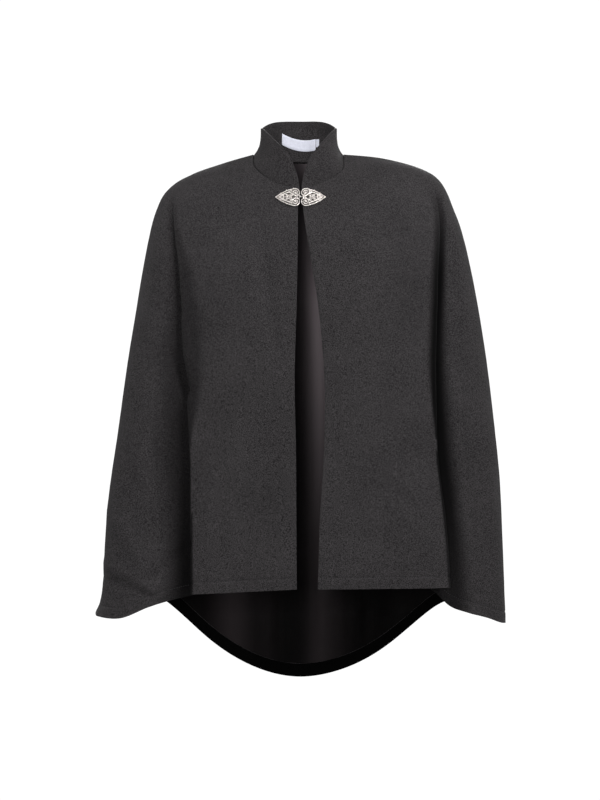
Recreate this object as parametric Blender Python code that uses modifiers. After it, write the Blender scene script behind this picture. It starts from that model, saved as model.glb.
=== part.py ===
"""Cape with a standing collar and a hooked clasp, worn form with nobody in it.

The cloth hangs from the shoulders: +Z is up, the front faces -Y, and the origin is the centre of the
neck at the height of the side neck seams, in the plane of the side seams. "right" and "left" are the
wearer's, so right is -X. Every panel is a wall over one garment surface, which is worked out from the
sections and folds below. Lengths in the tables are in millimetres.
"""

import math
from collections import namedtuple

import bmesh
import bpy
from mathutils import Vector
from mathutils.bvhtree import BVHTree

MM = 0.001
RIGHT, LEFT = -1, 1

# Driving sizes, in metres
CLOTH_WALL = 0.0020
LINING_WALL = 0.0010
SEAM_GAP = 0.00035
LAYER_GAP = 0.00045
HEM_BAND_WIDTH = 0.022
HEM_BAND_WALL = 0.0012
LINING_START = 0.006
LINING_END_GAP = 0.001

# Deep folds between each front and its arm part
FOLD_DEPTH = 0.042
FOLD_OPEN_TURN = math.radians(3.0)
FOLD_ROUNDING = 0.020
# Share of the arm part over which it comes back out of the fold, at the fold's top and at the hem
FOLD_RETURN_TOP, FOLD_RETURN_HEM = 0.30, 0.55
FOLD_TOP = 4

# Collar
COLLAR_WALL = 0.0030
COLLAR_SINK = 0.0015
COLLAR_TOP_WIDTH = {RIGHT: 0.0635, LEFT: 0.0585}
COLLAR_TOP_FRONT = 0.076
COLLAR_TOP_BACK = 0.053
# Bend of the flare at the foot beside the neck, and the share of the height below it that stands straight
COLLAR_FLARE, COLLAR_FLARE_START = 3.6, 0.06
COLLAR_RIM_BEND_Z = 0.002
COLLAR_RIM_SIDE_Z = 0.050
COLLAR_RIM_BACK_Z = 0.068
NOTCH_TURN_FOOT = math.radians(1.2)
NOTCH_TURN_RIM = math.radians(17.0)
NOTCH_BEND = 1.8

# Label and size tab inside the back of the collar
LABEL_LEFT_X, LABEL_RIGHT_X = -0.030, 0.0245
LABEL_TOP_Z = 0.048
LABEL_HEIGHT = 0.018
LABEL_SAG, LABEL_TILT = 0.005, 0.009
LABEL_WALL = 0.0008
TAB_LEFT_X, TAB_RIGHT_X = 0.0252, 0.0302
TAB_TOP_Z, TAB_HEIGHT = 0.0385, 0.0125

# Clasp
CLASP_Z = -0.0676
CLASP_LENGTH = 0.038
CLASP_HEIGHT = 0.029
CLASP_MIDDLE_GAP = 0.0026
CLASP_LEVEL_X = 0.0048
CLASP_WALL = 0.0020
LOBE_DIP, LOBE_DIP_WIDTH = 0.08, 0.10
LEAF_TAPER, LEAF_TAPER_BEND = 0.42, 1.6
WIRE_RADIUS = 0.0006
CLASP_POINTS = 36
EYE_X, EYE_RADIUS, EYE_POINTS = -0.0030, 0.0024, 12
HOOK_END_X, HOOK_BEND_X = 0.0070, 0.0040

# Grid of the panels
FRONT_CELLS, TUCK_CELLS, ARM_CELLS = 9, 4, 10
ARM_CELL_BEND = 1.4
BACK_CELLS = 32
ROW_CELLS = 20
COLLAR_CELLS = 44
COLLAR_HEIGHTS = (0, COLLAR_FLARE_START, 0.18, 0.34, 0.62, 1)
LABEL_CELLS, TAB_CELLS, TAPE_ROWS = 16, 2, 3

# Each section is one level line of the cloth, from the centre front round the side to the centre back.
# side: half width at the side seam, side_z: its height, roundness: 2 is an ellipse, more is squarer,
# opening: front edge from the centre line, edge: where the deep fold turns, drop: how far it is formed,
# level: 0 where the line follows the slope of the shoulder, 1 where it follows the hems.
Section = namedtuple("Section", "side_r side_l side_z_r side_z_l front_y front_z back_y back_z roundness "
                     "opening_r opening_l edge_r edge_l drop_r drop_l level")
SECTIONS = {
    "neck": Section(75, 69, 7, 7, 85, -53, 57, 4, 2.0, 1.5, 1.5, 60, 56, 0, 0, 0),
    "yoke": Section(120, 130, -6, 1, 93, -76, 76, -26, 2.0, 3.4, 3, 108, 118, 0, 0, 0),
    "shoulder": Section(170, 190, -24, -15, 105, -104, 95, -62, 2.1, 4, 6, 158, 176, 0, 0, 0),
    "arm head": Section(206, 222, -45, -36, 118, -138, 109, -105, 2.2, 4.3, 11, 192, 206, 0, 0, 0),
    "upper arm": Section(226, 241, -76, -76, 129, -182, 119, -155, 2.3, 4.8, 18, 195, 215, 0.2, 0.5, 0),
    "bust": Section(244, 262, -144, -144, 137, -240, 126, -225, 2.45, 6, 27, 185, 212, 0.6, 0.9, 0),
    "elbow": Section(268, 287, -290, -290, 141, -350, 130, -370, 2.5, 9, 36.5, 175, 207, 0.92, 1, 0.5),
    "forearm": Section(289, 305, -432, -432, 142, -460, 135, -520, 2.5, 7, 36, 169, 210, 1, 1, 1),
    "wrist": Section(304, 314, -540, -540, 142, -560, 140, -650, 2.5, 6.4, 30, 167, 221, 1, 1, 1),
    "cuff": Section(313, 320, -680, -680, 141, -640, 146, -780, 2.5, 6, 27.5, 167, 228, 1, 1, 1),
    "hem": Section(325, 322, -724, -736, 140, -675, 150, -846, 2.5, 5.6, 26.5, 167, 230, 1, 1, 1),
}
LAST = len(SECTIONS) - 1

# tuck: how far the crease lies back under the front layer, hem_edge and hem_crease: share of the fall
# from the front hem to the tip that is reached there, hem_fall: the rest of that fall at even steps
# from the crease to the side seam
DeepFold = namedtuple("DeepFold", "tuck hem_edge hem_crease hem_fall")
DEEP_FOLDS = {RIGHT: DeepFold(12, 0.18, 0.22, (0, 0.2, 0.55, 1.02, 1)),
              LEFT: DeepFold(12, 0.0, 0.10, (0, 0.46, 0.66, 0.81, 1))}

# Soft folds that run down the cloth: turn and width in degrees from the panel's centre line,
# start and full are places in the list of sections, rise is outwards. The first two are the neck's
# own bulge beside the throat, fully formed at the seam.
SoftFold = namedtuple("SoftFold", "panel side turn width start full rise")
SOFT_FOLDS = [
    SoftFold("front", RIGHT, 68, 14, 1.6, 0, 3),
    SoftFold("front", LEFT, 62, 14, 1.6, 0, 6),
    SoftFold("front", RIGHT, 15, 6, 5, 8, -3),
    SoftFold("front", RIGHT, 64, 10, 3, 7, 9),
    SoftFold("front", LEFT, 24, 7, 5, 8, -4),
    SoftFold("front", LEFT, 70, 9, 3, 7, 8),
    SoftFold("back", RIGHT, 66, 8, 3.5, 7, -20),
    SoftFold("back", RIGHT, 50, 9, 3.5, 8, 12),
    SoftFold("back", RIGHT, 32, 7, 5, 9, -11),
    SoftFold("back", RIGHT, 14, 8, 5, 9, 6),
    SoftFold("back", LEFT, 69, 8, 3.5, 7, -17),
    SoftFold("back", LEFT, 54, 8, 3.5, 8, 11),
    SoftFold("back", LEFT, 29, 8, 5, 9, -13),
    SoftFold("back", LEFT, 9, 7, 5, 9, 5),
]
# The back hem rises from its centre to this share of the half width, then its corners droop to the tips
BACK_HEM_RISE_SHARE = 0.78
BACK_HEM_BEND = 5
BACK_CORNER_DROOP = 22
BACK_CORNER_START = 0.82
BACK_CORNER_TOP, BACK_CORNER_FULL = 7, 9.3
# The neck seam dips towards the front in this curve, and the shoulder's own slope holds from this section on
NECK_DIP_BEND = 1.0
SLOPE_SECTION = 2

# name: (colour, roughness, metallic)
FINISHES = {
    "wool": ((0.043, 0.040, 0.041), 0.95, 0.0),
    "satin": ((0.060, 0.045, 0.052), 0.42, 0.0),
    "dark_band": ((0.004, 0.004, 0.004), 0.85, 0.0),
    "white_tape": ((0.62, 0.63, 0.70), 0.75, 0.0),
    "old_silver": ((0.42, 0.41, 0.39), 0.35, 1.0),
}


def clear_scene():
    for obj in list(bpy.data.objects):
        bpy.data.objects.remove(obj, do_unlink=True)


def finish(name):
    """The named material, made on its first use."""
    if name in bpy.data.materials:
        return bpy.data.materials[name]
    colour, roughness, metallic = FINISHES[name]
    material = bpy.data.materials.new(name)
    material.use_nodes = True
    shader = material.node_tree.nodes["Principled BSDF"]
    shader.inputs["Base Color"].default_value = (*colour, 1)
    shader.inputs["Roughness"].default_value = roughness
    shader.inputs["Metallic"].default_value = metallic
    material.diffuse_color = (*colour, 1)
    return material


def smooth_step(share):
    share = min(max(share, 0), 1)
    return share * share * (3 - 2 * share)


def blend(a, b, share):
    return a + (b - a) * share


def through(values, place):
    """Smooth curve through evenly spaced values, read at a place counted in values."""
    last = len(values) - 1
    index = min(int(place), last - 1)
    share = place - index
    before, a, b, after = (values[min(max(index + step, 0), last)] for step in (-1, 0, 1, 2))
    slope_a, slope_b = (b - before) / 2, (after - a) / 2
    rise = b - a
    return a + share * (slope_a + share * (3 * rise - 2 * slope_a - slope_b
                                           + share * (slope_a + slope_b - 2 * rise)))


def section_at(place):
    columns = zip(*SECTIONS.values())
    return Section(*(through(column, place) for column in columns))


def quarter(width, depth, roundness, turn):
    """Point and outward direction of a quarter outline, turn 0 on the centre line, 90 degrees at the side."""
    across, along = math.sin(turn), max(math.cos(turn), 0)
    reach = (across**roundness + along**roundness) ** (1 / roundness)
    point = Vector((width * across / reach, depth * along / reach))
    outward = Vector((across ** (roundness - 1) / width, along ** (roundness - 1) / depth))
    return point, outward.normalized()


def turn_at(width, roundness, across):
    """Turn at which a quarter outline lies this far from the centre line."""
    share = across / width
    return math.atan2(share, (1 - share**roundness) ** (1 / roundness))


def soft_rise(panel, side, turn, place):
    """Outward shift of the soft folds at one point of a panel."""
    rise = 0
    for fold in SOFT_FOLDS:
        if (fold.panel, fold.side) == (panel, side):
            off = (math.degrees(turn) - fold.turn) / fold.width
            formed = smooth_step((place - fold.start) / (fold.full - fold.start))
            rise += fold.rise * formed * math.exp(-off * off)
    return rise


def outline(row, side, panel, turn, place):
    """Plan point of one panel without its deep fold, and its outward direction, in the side's own X."""
    width = row.side_r if side == RIGHT else row.side_l
    depth = row.front_y if panel == "front" else row.back_y
    point, outward = quarter(width, depth, row.roundness, turn)
    return point + outward * soft_rise(panel, side, turn, place), outward


def front_slope(turn, place):
    """Share of a front's slope that is climbed at this turn, 0 on the centre line and 1 at the side."""
    neck_dip = (1 - math.cos(turn)) ** NECK_DIP_BEND
    return blend(neck_dip, math.sin(turn) ** 2, smooth_step(place / SLOPE_SECTION))


def along_outline(outward):
    """Direction along the outline towards the side seam."""
    return Vector((outward.y, -outward.x))


def front_point(side, u, place):
    """Inner face of a front: its layer for u 0 to 1, the deep fold's turn to 2, the arm part to 3."""
    row = section_at(place)
    fold = DEEP_FOLDS[side]
    width, side_z, opening, edge, drop = (
        (row.side_r, row.side_z_r, row.opening_r, row.edge_r, row.drop_r) if side == RIGHT
        else (row.side_l, row.side_z_l, row.opening_l, row.edge_l, row.drop_l))
    turn_open = turn_at(width, row.roundness, opening)
    turn_edge = turn_at(width, row.roundness, edge)
    turn_crease = turn_edge + FOLD_OPEN_TURN
    at_edge, edge_out = outline(row, side, "front", turn_edge, place)
    plain_crease, crease_out = outline(row, side, "front", turn_crease, place)
    folded = at_edge - edge_out * (FOLD_DEPTH / MM) - along_outline(edge_out) * fold.tuck
    at_crease = plain_crease.lerp(folded, drop)

    if u <= 1:
        turn = blend(turn_open, turn_edge, u)
        point = outline(row, side, "front", turn, place)[0]
        slope_share, hem_share = front_slope(turn, place), fold.hem_edge * u
    elif u <= 2:
        share = u - 1
        chord = (at_crease - at_edge).length
        pull = blend(chord, FOLD_ROUNDING / MM, drop)
        start, end = along_outline(edge_out) * pull, along_outline(crease_out) * pull
        point = (at_edge * (1 - share) ** 2 * (1 + 2 * share) + start * share * (1 - share) ** 2
                 + at_crease * share**2 * (3 - 2 * share) - end * share**2 * (1 - share))
        slope_share = front_slope(blend(turn_edge, turn_crease, share), place)
        hem_share = blend(fold.hem_edge, fold.hem_crease, share)
    else:
        share = u - 2
        turn = blend(turn_crease, math.pi / 2, share)
        point = outline(row, side, "front", turn, place)[0]
        folded_down = smooth_step((place - FOLD_TOP) / (LAST - FOLD_TOP))
        returned = min(share / blend(FOLD_RETURN_TOP, FOLD_RETURN_HEM, folded_down), 1)
        point += (at_crease - plain_crease) * (1 - returned) ** 2
        seam_x = outline(row, side, "front", math.pi / 2, place)[0].x
        across = min(max((point.x - at_crease.x) / (seam_x - at_crease.x), 0), 1)
        fall = through(fold.hem_fall, across * (len(fold.hem_fall) - 1))
        slope_share, hem_share = front_slope(turn, place), blend(fold.hem_crease, 1, fall)

    z = blend(row.front_z, side_z, blend(slope_share, hem_share, min(max(row.level, 0), 1)))
    y = min(-point.y * MM, -SEAM_GAP / 2)
    return Vector((side * point.x * MM, y, z * MM))


def back_point(u, place):
    """Inner face of the back: u -1 is the right side seam, 0 the centre back, 1 the left side seam."""
    row = section_at(place)
    side = RIGHT if u < 0 else LEFT
    turn = abs(u) * math.pi / 2
    right = outline(row, RIGHT, "back", turn, place)[0]
    left = outline(row, LEFT, "back", turn, place)[0]
    # The two halves differ a little, so their depths are blended near the centre back.
    share = smooth_step(0.5 + 2 * u)
    x = side * (right if side == RIGHT else left).x
    y = blend(right.y, left.y, share)
    width, side_z = (row.side_r, row.side_z_r) if side == RIGHT else (row.side_l, row.side_z_l)
    reach = quarter(width, row.back_y, row.roundness, turn)[0].x / width
    across = min((reach / BACK_HEM_RISE_SHARE) ** 2, 1)
    hem_share = (BACK_HEM_BEND * across - across**BACK_HEM_BEND) / (BACK_HEM_BEND - 1)
    droop = BACK_CORNER_DROOP * smooth_step((place - BACK_CORNER_TOP) / (BACK_CORNER_FULL - BACK_CORNER_TOP))
    corner = smooth_step((reach - BACK_CORNER_START) / (1 - BACK_CORNER_START))
    slope_z = blend(row.back_z, side_z, math.sin(turn) ** 2)
    hem_z = blend(row.back_z, side_z + droop, hem_share) - droop * corner
    z = blend(slope_z, hem_z, min(max(row.level, 0), 1))
    return Vector((x * MM, max(y * MM, SEAM_GAP / 2), z * MM))


def steps(start, end, cells):
    return [blend(start, end, index / cells) for index in range(cells + 1)]


ARM_COLUMNS = [2 + share**ARM_CELL_BEND for share in steps(0, 1, ARM_CELLS)]
FRONT_COLUMNS = steps(0, 1, FRONT_CELLS) + steps(1, 2, TUCK_CELLS)[1:] + ARM_COLUMNS[1:]
BACK_COLUMNS = steps(-1, 1, BACK_CELLS)
# The last row of cells is wide enough for the hem band
PANEL_ROWS = steps(0, LAST - 0.7, ROW_CELLS) + [LAST]


def add_object(name, mesh, finish_name, collection):
    mesh.materials.append(finish(finish_name))
    obj = bpy.data.objects.new(name, mesh)
    collection.objects.link(obj)
    return obj


def grid_mesh(name, columns, rows, point_at, outward_at):
    """Open grid with its faces turned the way outward_at says, point_at(column, row) being each point."""
    grid = bmesh.new()
    bmesh.ops.create_grid(grid, x_segments=len(columns) - 1, y_segments=len(rows) - 1, size=0.5)
    for vertex in grid.verts:
        column = columns[round((vertex.co.x + 0.5) * (len(columns) - 1))]
        row = rows[round((vertex.co.y + 0.5) * (len(rows) - 1))]
        vertex.co = point_at(column, row)
    grid.normal_update()
    turned = sum(face.normal.dot(outward_at(face.calc_center_median())) * face.calc_area()
                 for face in grid.faces)
    if turned < 0:
        bmesh.ops.reverse_faces(grid, faces=grid.faces)
    # Every layer is split along the same diagonals, so that two layers stay parallel.
    bmesh.ops.triangulate(grid, faces=grid.faces, quad_method="FIXED")
    mesh = bpy.data.meshes.new(name)
    grid.to_mesh(mesh)
    grid.free()
    mesh.shade_smooth()
    return mesh


def add_wall(obj, thickness, outwards):
    """Gives an open surface its wall, on the side that its faces point to or on the other."""
    wall = obj.modifiers.new("wall", "SOLIDIFY")
    wall.thickness = thickness
    wall.offset = 1 if outwards else -1


def from_axis(centre):
    """Outward direction for a wall that stands round the body."""
    return Vector((centre.x, centre.y, 0))


def add_front(name, side, collection):
    mesh = grid_mesh(name, FRONT_COLUMNS, PANEL_ROWS, lambda u, place: front_point(side, u, place), from_axis)
    front = add_object(name, mesh, "wool", collection)
    add_wall(front, CLOTH_WALL, True)
    return front


def add_back(collection):
    mesh = grid_mesh("back", BACK_COLUMNS, PANEL_ROWS, back_point, from_axis)
    back = add_object("back", mesh, "wool", collection)
    add_wall(back, CLOTH_WALL, True)
    return back


def back_inside(u, place, distance):
    """Point inside the back's wall, this far from its inner face."""
    step = 0.02
    before, after = max(u - step, -1), min(u + step, 1)
    across = back_point(after, place) - back_point(before, place)
    down = back_point(u, min(place + step, LAST)) - back_point(u, max(place - step, 0))
    return back_point(u, place) + down.cross(across).normalized() * distance


def inside_between(u, upper, lower, below_upper, distance):
    """Point on the straight stretch between two rows, a given length below the upper one."""
    start, end = back_inside(u, upper, distance), back_inside(u, lower, distance)
    return start.lerp(end, below_upper / (end - start).length)


def inside_above_hem(u, height, distance):
    start, end = back_inside(u, LAST, distance), back_inside(u, PANEL_ROWS[-2], distance)
    return start.lerp(end, height / (end - start).length)


def add_lining(collection):
    rows = PANEL_ROWS[:-1]

    def point_at(u, index):
        if index == 0:
            return inside_between(u, rows[0], rows[1], LINING_START, LAYER_GAP)
        if index == len(rows):
            return inside_above_hem(u, HEM_BAND_WIDTH + LINING_END_GAP, LAYER_GAP)
        return back_inside(u, rows[index], LAYER_GAP)

    columns = [u * (1 - SEAM_GAP) for u in BACK_COLUMNS]
    mesh = grid_mesh("back_lining", columns, range(len(rows) + 1), point_at, from_axis)
    lining = add_object("back_lining", mesh, "satin", collection)
    add_wall(lining, LINING_WALL, False)


def add_hem_band(collection):
    def point_at(u, height):
        return inside_above_hem(u, height, LAYER_GAP)

    mesh = grid_mesh("back_hem_band", BACK_COLUMNS, [HEM_BAND_WIDTH, 0], point_at, from_axis)
    band = add_object("back_hem_band", mesh, "dark_band", collection)
    add_wall(band, HEM_BAND_WALL, False)


def collar_point(u, height):
    """Outer face of the collar: u -1 is the right front edge, 0 the centre back, 1 the left front edge."""
    neck = SECTIONS["neck"]
    side = RIGHT if u < 0 else LEFT
    front_edge = blend(NOTCH_TURN_FOOT, NOTCH_TURN_RIM, height**NOTCH_BEND)
    turn = blend(math.pi, front_edge, abs(u))
    to_side = min(turn, math.pi - turn)
    in_front = turn < math.pi / 2
    foot, outward = outline(neck, side, "front" if in_front else "back", to_side, 0)
    foot = foot * MM - outward * LAYER_GAP
    top_depth = COLLAR_TOP_FRONT if in_front else COLLAR_TOP_BACK
    top = quarter(COLLAR_TOP_WIDTH[side], top_depth, neck.roundness, to_side)[0]
    side_z = neck.side_z_r if side == RIGHT else neck.side_z_l
    if in_front:
        foot_z = blend(neck.front_z, side_z, front_slope(to_side, 0))
    else:
        foot_z = blend(neck.back_z, side_z, math.sin(to_side) ** 2)
    if in_front:
        share = (turn - front_edge) / (math.pi / 2 - front_edge)
        rim_z = blend(COLLAR_RIM_BEND_Z, COLLAR_RIM_SIDE_Z, math.sin(share * math.pi / 2))
    else:
        rim_z = blend(COLLAR_RIM_SIDE_Z, COLLAR_RIM_BACK_Z, smooth_step(math.cos(to_side)))
    risen = max(height - COLLAR_FLARE_START, 0) / (1 - COLLAR_FLARE_START)
    flare = blend(1, COLLAR_FLARE, math.sin(to_side) ** 4)
    plan = foot.lerp(top, 1 - (1 - risen) ** flare)
    z = blend(foot_z * MM - COLLAR_SINK, rim_z, height)
    return Vector((side * plan.x, -plan.y if in_front else plan.y, z))


def add_collar(collection):
    columns, rows = steps(-1, 1, COLLAR_CELLS), COLLAR_HEIGHTS
    mesh = grid_mesh("collar", columns, rows, collar_point, from_axis)
    collar = add_object("collar", mesh, "wool", collection)
    add_wall(collar, COLLAR_WALL, False)
    return collar


def face_tree(obj):
    bpy.context.view_layer.update()
    return BVHTree.FromObject(obj, bpy.context.evaluated_depsgraph_get())


def add_tape(name, collar_faces, left_x, right_x, top_z, height, sag, tilt, cells, collection):
    """Flat tape sewn inside the back of the collar, seen from the front."""
    middle, half = (left_x + right_x) / 2, (right_x - left_x) / 2

    def point_at(x, down):
        across = (x - middle) / half
        z = top_z - down - sag * (1 - across**2) - tilt * (1 + across) / 2
        hit = collar_faces.ray_cast(Vector((x, 0, z)), Vector((0, 1, 0)))[0]
        return hit - Vector((0, LAYER_GAP, 0))

    mesh = grid_mesh(name, steps(left_x, right_x, cells), steps(0, height, TAPE_ROWS), point_at,
                     lambda centre: Vector((0, -1, 0)))
    tape = add_object(name, mesh, "white_tape", collection)
    add_wall(tape, LABEL_WALL, True)


def front_face_y(faces, x, z):
    """Where a line from the front first meets these faces. It is far behind where the line misses them."""
    hit = faces.ray_cast(Vector((x, -1, z)), Vector((0, 1, 0)))[0]
    return hit.y if hit else 1.0


def leaf_reach(turn):
    """Outline of a clasp plate as shares of its half sizes: a point outwards, two lobes inwards."""
    along, across = math.cos(turn), math.sin(turn)
    dip = LOBE_DIP * math.exp(-((1 + along) / LOBE_DIP_WIDTH) ** 2)
    taper = LEAF_TAPER * ((1 + along) / 2) ** LEAF_TAPER_BEND
    return Vector((along * (1 - dip), across * (1 - taper)))


def add_clasp_plate(name, side, front, collection):
    """Domed leaf plate on the outer face of one front, its point away from the opening."""
    faces = face_tree(front)
    plate = bmesh.new()
    bmesh.ops.create_circle(plate, cap_ends=True, cap_tris=True, segments=CLASP_POINTS, radius=1)
    spokes = [edge for edge in plate.edges if min(v.co.length for v in edge.verts) < 0.5]
    bmesh.ops.subdivide_edges(plate, edges=spokes, cuts=3, use_grid_fill=True)
    for vertex in plate.verts:
        reach = leaf_reach(math.atan2(vertex.co.y, vertex.co.x)) * vertex.co.length
        x = CLASP_MIDDLE_GAP / 2 + CLASP_LENGTH / 2 * (1 + reach.x)
        z = CLASP_Z + CLASP_HEIGHT / 2 * reach.y
        # Past the front's edge the plate runs on level with the cloth beside it.
        y = front_face_y(faces, side * max(x, CLASP_LEVEL_X), z) - LAYER_GAP
        vertex.co = Vector((side * x, y, z))
    plate.normal_update()
    if sum(face.normal.y for face in plate.faces) > 0:
        bmesh.ops.reverse_faces(plate, faces=plate.faces)
    mesh = bpy.data.meshes.new(name)
    plate.to_mesh(mesh)
    plate.free()
    mesh.shade_smooth()
    obj = add_object(name, mesh, "old_silver", collection)
    add_wall(obj, CLASP_WALL, True)
    return obj


def add_wire(name, points, collection, closed=False):
    curve = bpy.data.curves.new(name, "CURVE")
    curve.dimensions = "3D"
    curve.bevel_depth = WIRE_RADIUS
    curve.bevel_resolution = 2
    curve.use_fill_caps = not closed
    spline = curve.splines.new("POLY")
    spline.points.add(len(points) - 1)
    for target, point in zip(spline.points, points):
        target.co = (*point, 1)
    spline.use_cyclic_u = closed
    curve.materials.append(finish("old_silver"))
    wire = bpy.data.objects.new(name, curve)
    collection.objects.link(wire)


def add_hook_and_eye(right_plate, left_plate, collection):
    """The eye is a ring on the right plate's edge, and the hook lies on the left plate and curls round it."""
    seat = WIRE_RADIUS + LAYER_GAP
    right_faces, left_faces = face_tree(right_plate), face_tree(left_plate)
    flat_ring = [Vector((EYE_X + EYE_RADIUS * math.cos(turn), 0, CLASP_Z + EYE_RADIUS * math.sin(turn)))
                 for turn in (math.tau * index / EYE_POINTS for index in range(EYE_POINTS))]
    ring_y = min(front_face_y(right_faces, point.x, point.z) for point in flat_ring) - seat
    add_wire("clasp_eye", [point + Vector((0, ring_y, 0)) for point in flat_ring], collection, closed=True)
    bar_x = EYE_X + EYE_RADIUS
    curl = 2 * WIRE_RADIUS + LAYER_GAP
    shank = [Vector((x, front_face_y(left_faces, x, CLASP_Z) - seat, CLASP_Z))
             for x in (HOOK_END_X, HOOK_BEND_X)]
    arc = [Vector((bar_x + curl * math.cos(turn), ring_y - curl * math.sin(turn), CLASP_Z))
           for turn in (math.radians(angle) for angle in range(30, 181, 25))]
    add_wire("clasp_hook", shank + arc, collection)


def main():
    clear_scene()
    cape = bpy.data.collections.new("cape")
    bpy.context.scene.collection.children.link(cape)
    front_right = add_front("front_right", RIGHT, cape)
    front_left = add_front("front_left", LEFT, cape)
    add_back(cape)
    add_lining(cape)
    add_hem_band(cape)
    collar_faces = face_tree(add_collar(cape))
    add_tape("neck_label", collar_faces, LABEL_LEFT_X, LABEL_RIGHT_X, LABEL_TOP_Z, LABEL_HEIGHT, LABEL_SAG,
             LABEL_TILT, LABEL_CELLS, cape)
    add_tape("size_tab", collar_faces, TAB_LEFT_X, TAB_RIGHT_X, TAB_TOP_Z, TAB_HEIGHT, 0, 0, TAB_CELLS,
             cape)
    right_plate = add_clasp_plate("clasp_plate_right", RIGHT, front_right, cape)
    left_plate = add_clasp_plate("clasp_plate_left", LEFT, front_left, cape)
    add_hook_and_eye(right_plate, left_plate, cape)


main()
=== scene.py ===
"""Looks of a worn charcoal cape with a standing collar and a silver clasp.

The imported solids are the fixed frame. Each cloth panel is a thin shell over the same garment surface,
at a finer grid, with its creases, hems, seams and stitches. Lengths in the tables are in millimetres,
everything else is in metres. "right" and "left" are the wearer's, so right is -X, and the front is -Y.
"""

from __future__ import annotations

import logging
import math
from collections.abc import Callable, Sequence
from dataclasses import dataclass, field
from enum import Enum
from functools import lru_cache
from typing import NamedTuple

import bmesh
import bpy
import numpy as np
from mathutils import Matrix, Vector, noise
from mathutils.bvhtree import BVHTree


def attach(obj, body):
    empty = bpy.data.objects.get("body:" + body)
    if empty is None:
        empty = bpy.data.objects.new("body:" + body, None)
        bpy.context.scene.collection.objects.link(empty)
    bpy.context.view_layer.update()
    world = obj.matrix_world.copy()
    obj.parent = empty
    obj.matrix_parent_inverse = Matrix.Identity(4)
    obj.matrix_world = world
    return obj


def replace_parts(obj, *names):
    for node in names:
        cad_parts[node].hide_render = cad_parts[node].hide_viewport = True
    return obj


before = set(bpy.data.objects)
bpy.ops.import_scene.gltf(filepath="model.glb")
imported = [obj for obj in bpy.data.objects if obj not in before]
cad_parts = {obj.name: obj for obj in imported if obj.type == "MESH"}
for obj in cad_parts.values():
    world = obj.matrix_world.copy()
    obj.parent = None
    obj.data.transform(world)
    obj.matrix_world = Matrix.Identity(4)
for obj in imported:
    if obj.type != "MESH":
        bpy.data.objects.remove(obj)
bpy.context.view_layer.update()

LOG = logging.getLogger("cape")
MM = 0.001
BODY = "root"
FRONTWARDS = Vector((0, -1, 0))
PAINTED_FOLD_SHADE = "painted_fold_shade"
HEM_STITCH_HEIGHT = {"front": 0.0175, "back": 0.021}
QUARTER_TURN = math.pi / 2


class Side(Enum):
    """The wearer's sides, each with the sign of its X."""

    RIGHT = -1
    LEFT = 1


class Panel(Enum):
    """The panels that carry soft folds of their own."""

    FRONT = "front"
    BACK = "back"


def blend(a: float, b: float, share: float) -> float:
    """Returns the value this share of the way from a to b."""
    return a + (b - a) * share


def smooth_step(share: float) -> float:
    """Returns an eased share, held between 0 and 1."""
    share = min(max(share, 0.0), 1.0)
    return share * share * (3 - 2 * share)


def steps(start: float, end: float, cells: int) -> list[float]:
    """Returns evenly spaced values from start to end, one more than there are cells."""
    return [blend(start, end, index / cells) for index in range(cells + 1)]


def through(values: Sequence[float], place: float) -> float:
    """Reads a smooth curve through evenly spaced values.

    Args:
        values: The values that the curve passes through.
        place: Where to read it, counted in values.

    Returns:
        The curve's value there.
    """
    last = len(values) - 1
    index = min(int(place), last - 1)
    share = place - index
    before, a, b, after = (values[min(max(index + step, 0), last)] for step in (-1, 0, 1, 2))
    slope_a, slope_b, rise = (b - before) / 2, (after - a) / 2, b - a
    return a + share * (slope_a + share * (3 * rise - 2 * slope_a - slope_b
                                           + share * (slope_a + slope_b - 2 * rise)))


class Section(NamedTuple):
    """One level line of the cloth, from the centre front round the side to the centre back.

    roundness is 2 on an ellipse and more on a squarer line, opening is the front edge's distance from
    the centre line, edge is where the deep fold turns, drop is how far it is formed, and level is 0
    where the line follows the shoulder's slope and 1 where it follows the hems.
    """

    side_r: float
    side_l: float
    side_z_r: float
    side_z_l: float
    front_y: float
    front_z: float
    back_y: float
    back_z: float
    roundness: float
    opening_r: float
    opening_l: float
    edge_r: float
    edge_l: float
    drop_r: float
    drop_l: float
    level: float


SECTIONS = {
    "neck": Section(75, 69, 7, 7, 85, -53, 57, 4, 2.0, 1.5, 1.5, 60, 56, 0, 0, 0),
    "yoke": Section(120, 130, -6, 1, 93, -76, 76, -26, 2.0, 3.4, 3, 108, 118, 0, 0, 0),
    "shoulder": Section(170, 190, -24, -15, 105, -104, 95, -62, 2.1, 4, 6, 158, 176, 0, 0, 0),
    "arm head": Section(206, 222, -45, -36, 118, -138, 109, -105, 2.2, 4.3, 11, 192, 206, 0, 0, 0),
    "upper arm": Section(226, 241, -76, -76, 129, -182, 119, -155, 2.3, 4.8, 18, 195, 215, 0.2, 0.5, 0),
    "bust": Section(244, 262, -144, -144, 137, -240, 126, -225, 2.45, 6, 27, 185, 212, 0.6, 0.9, 0),
    "elbow": Section(268, 287, -290, -290, 141, -350, 130, -370, 2.5, 9, 36.5, 175, 207, 0.92, 1, 0.5),
    "forearm": Section(289, 305, -432, -432, 142, -460, 135, -520, 2.5, 7, 36, 169, 210, 1, 1, 1),
    "wrist": Section(304, 314, -540, -540, 142, -560, 140, -650, 2.5, 6.4, 30, 167, 221, 1, 1, 1),
    "cuff": Section(313, 320, -680, -680, 141, -640, 146, -780, 2.5, 6, 27.5, 167, 228, 1, 1, 1),
    "hem": Section(325, 322, -724, -736, 140, -675, 150, -846, 2.5, 5.6, 26.5, 167, 230, 1, 1, 1),
}
LAST = len(SECTIONS) - 1


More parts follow.
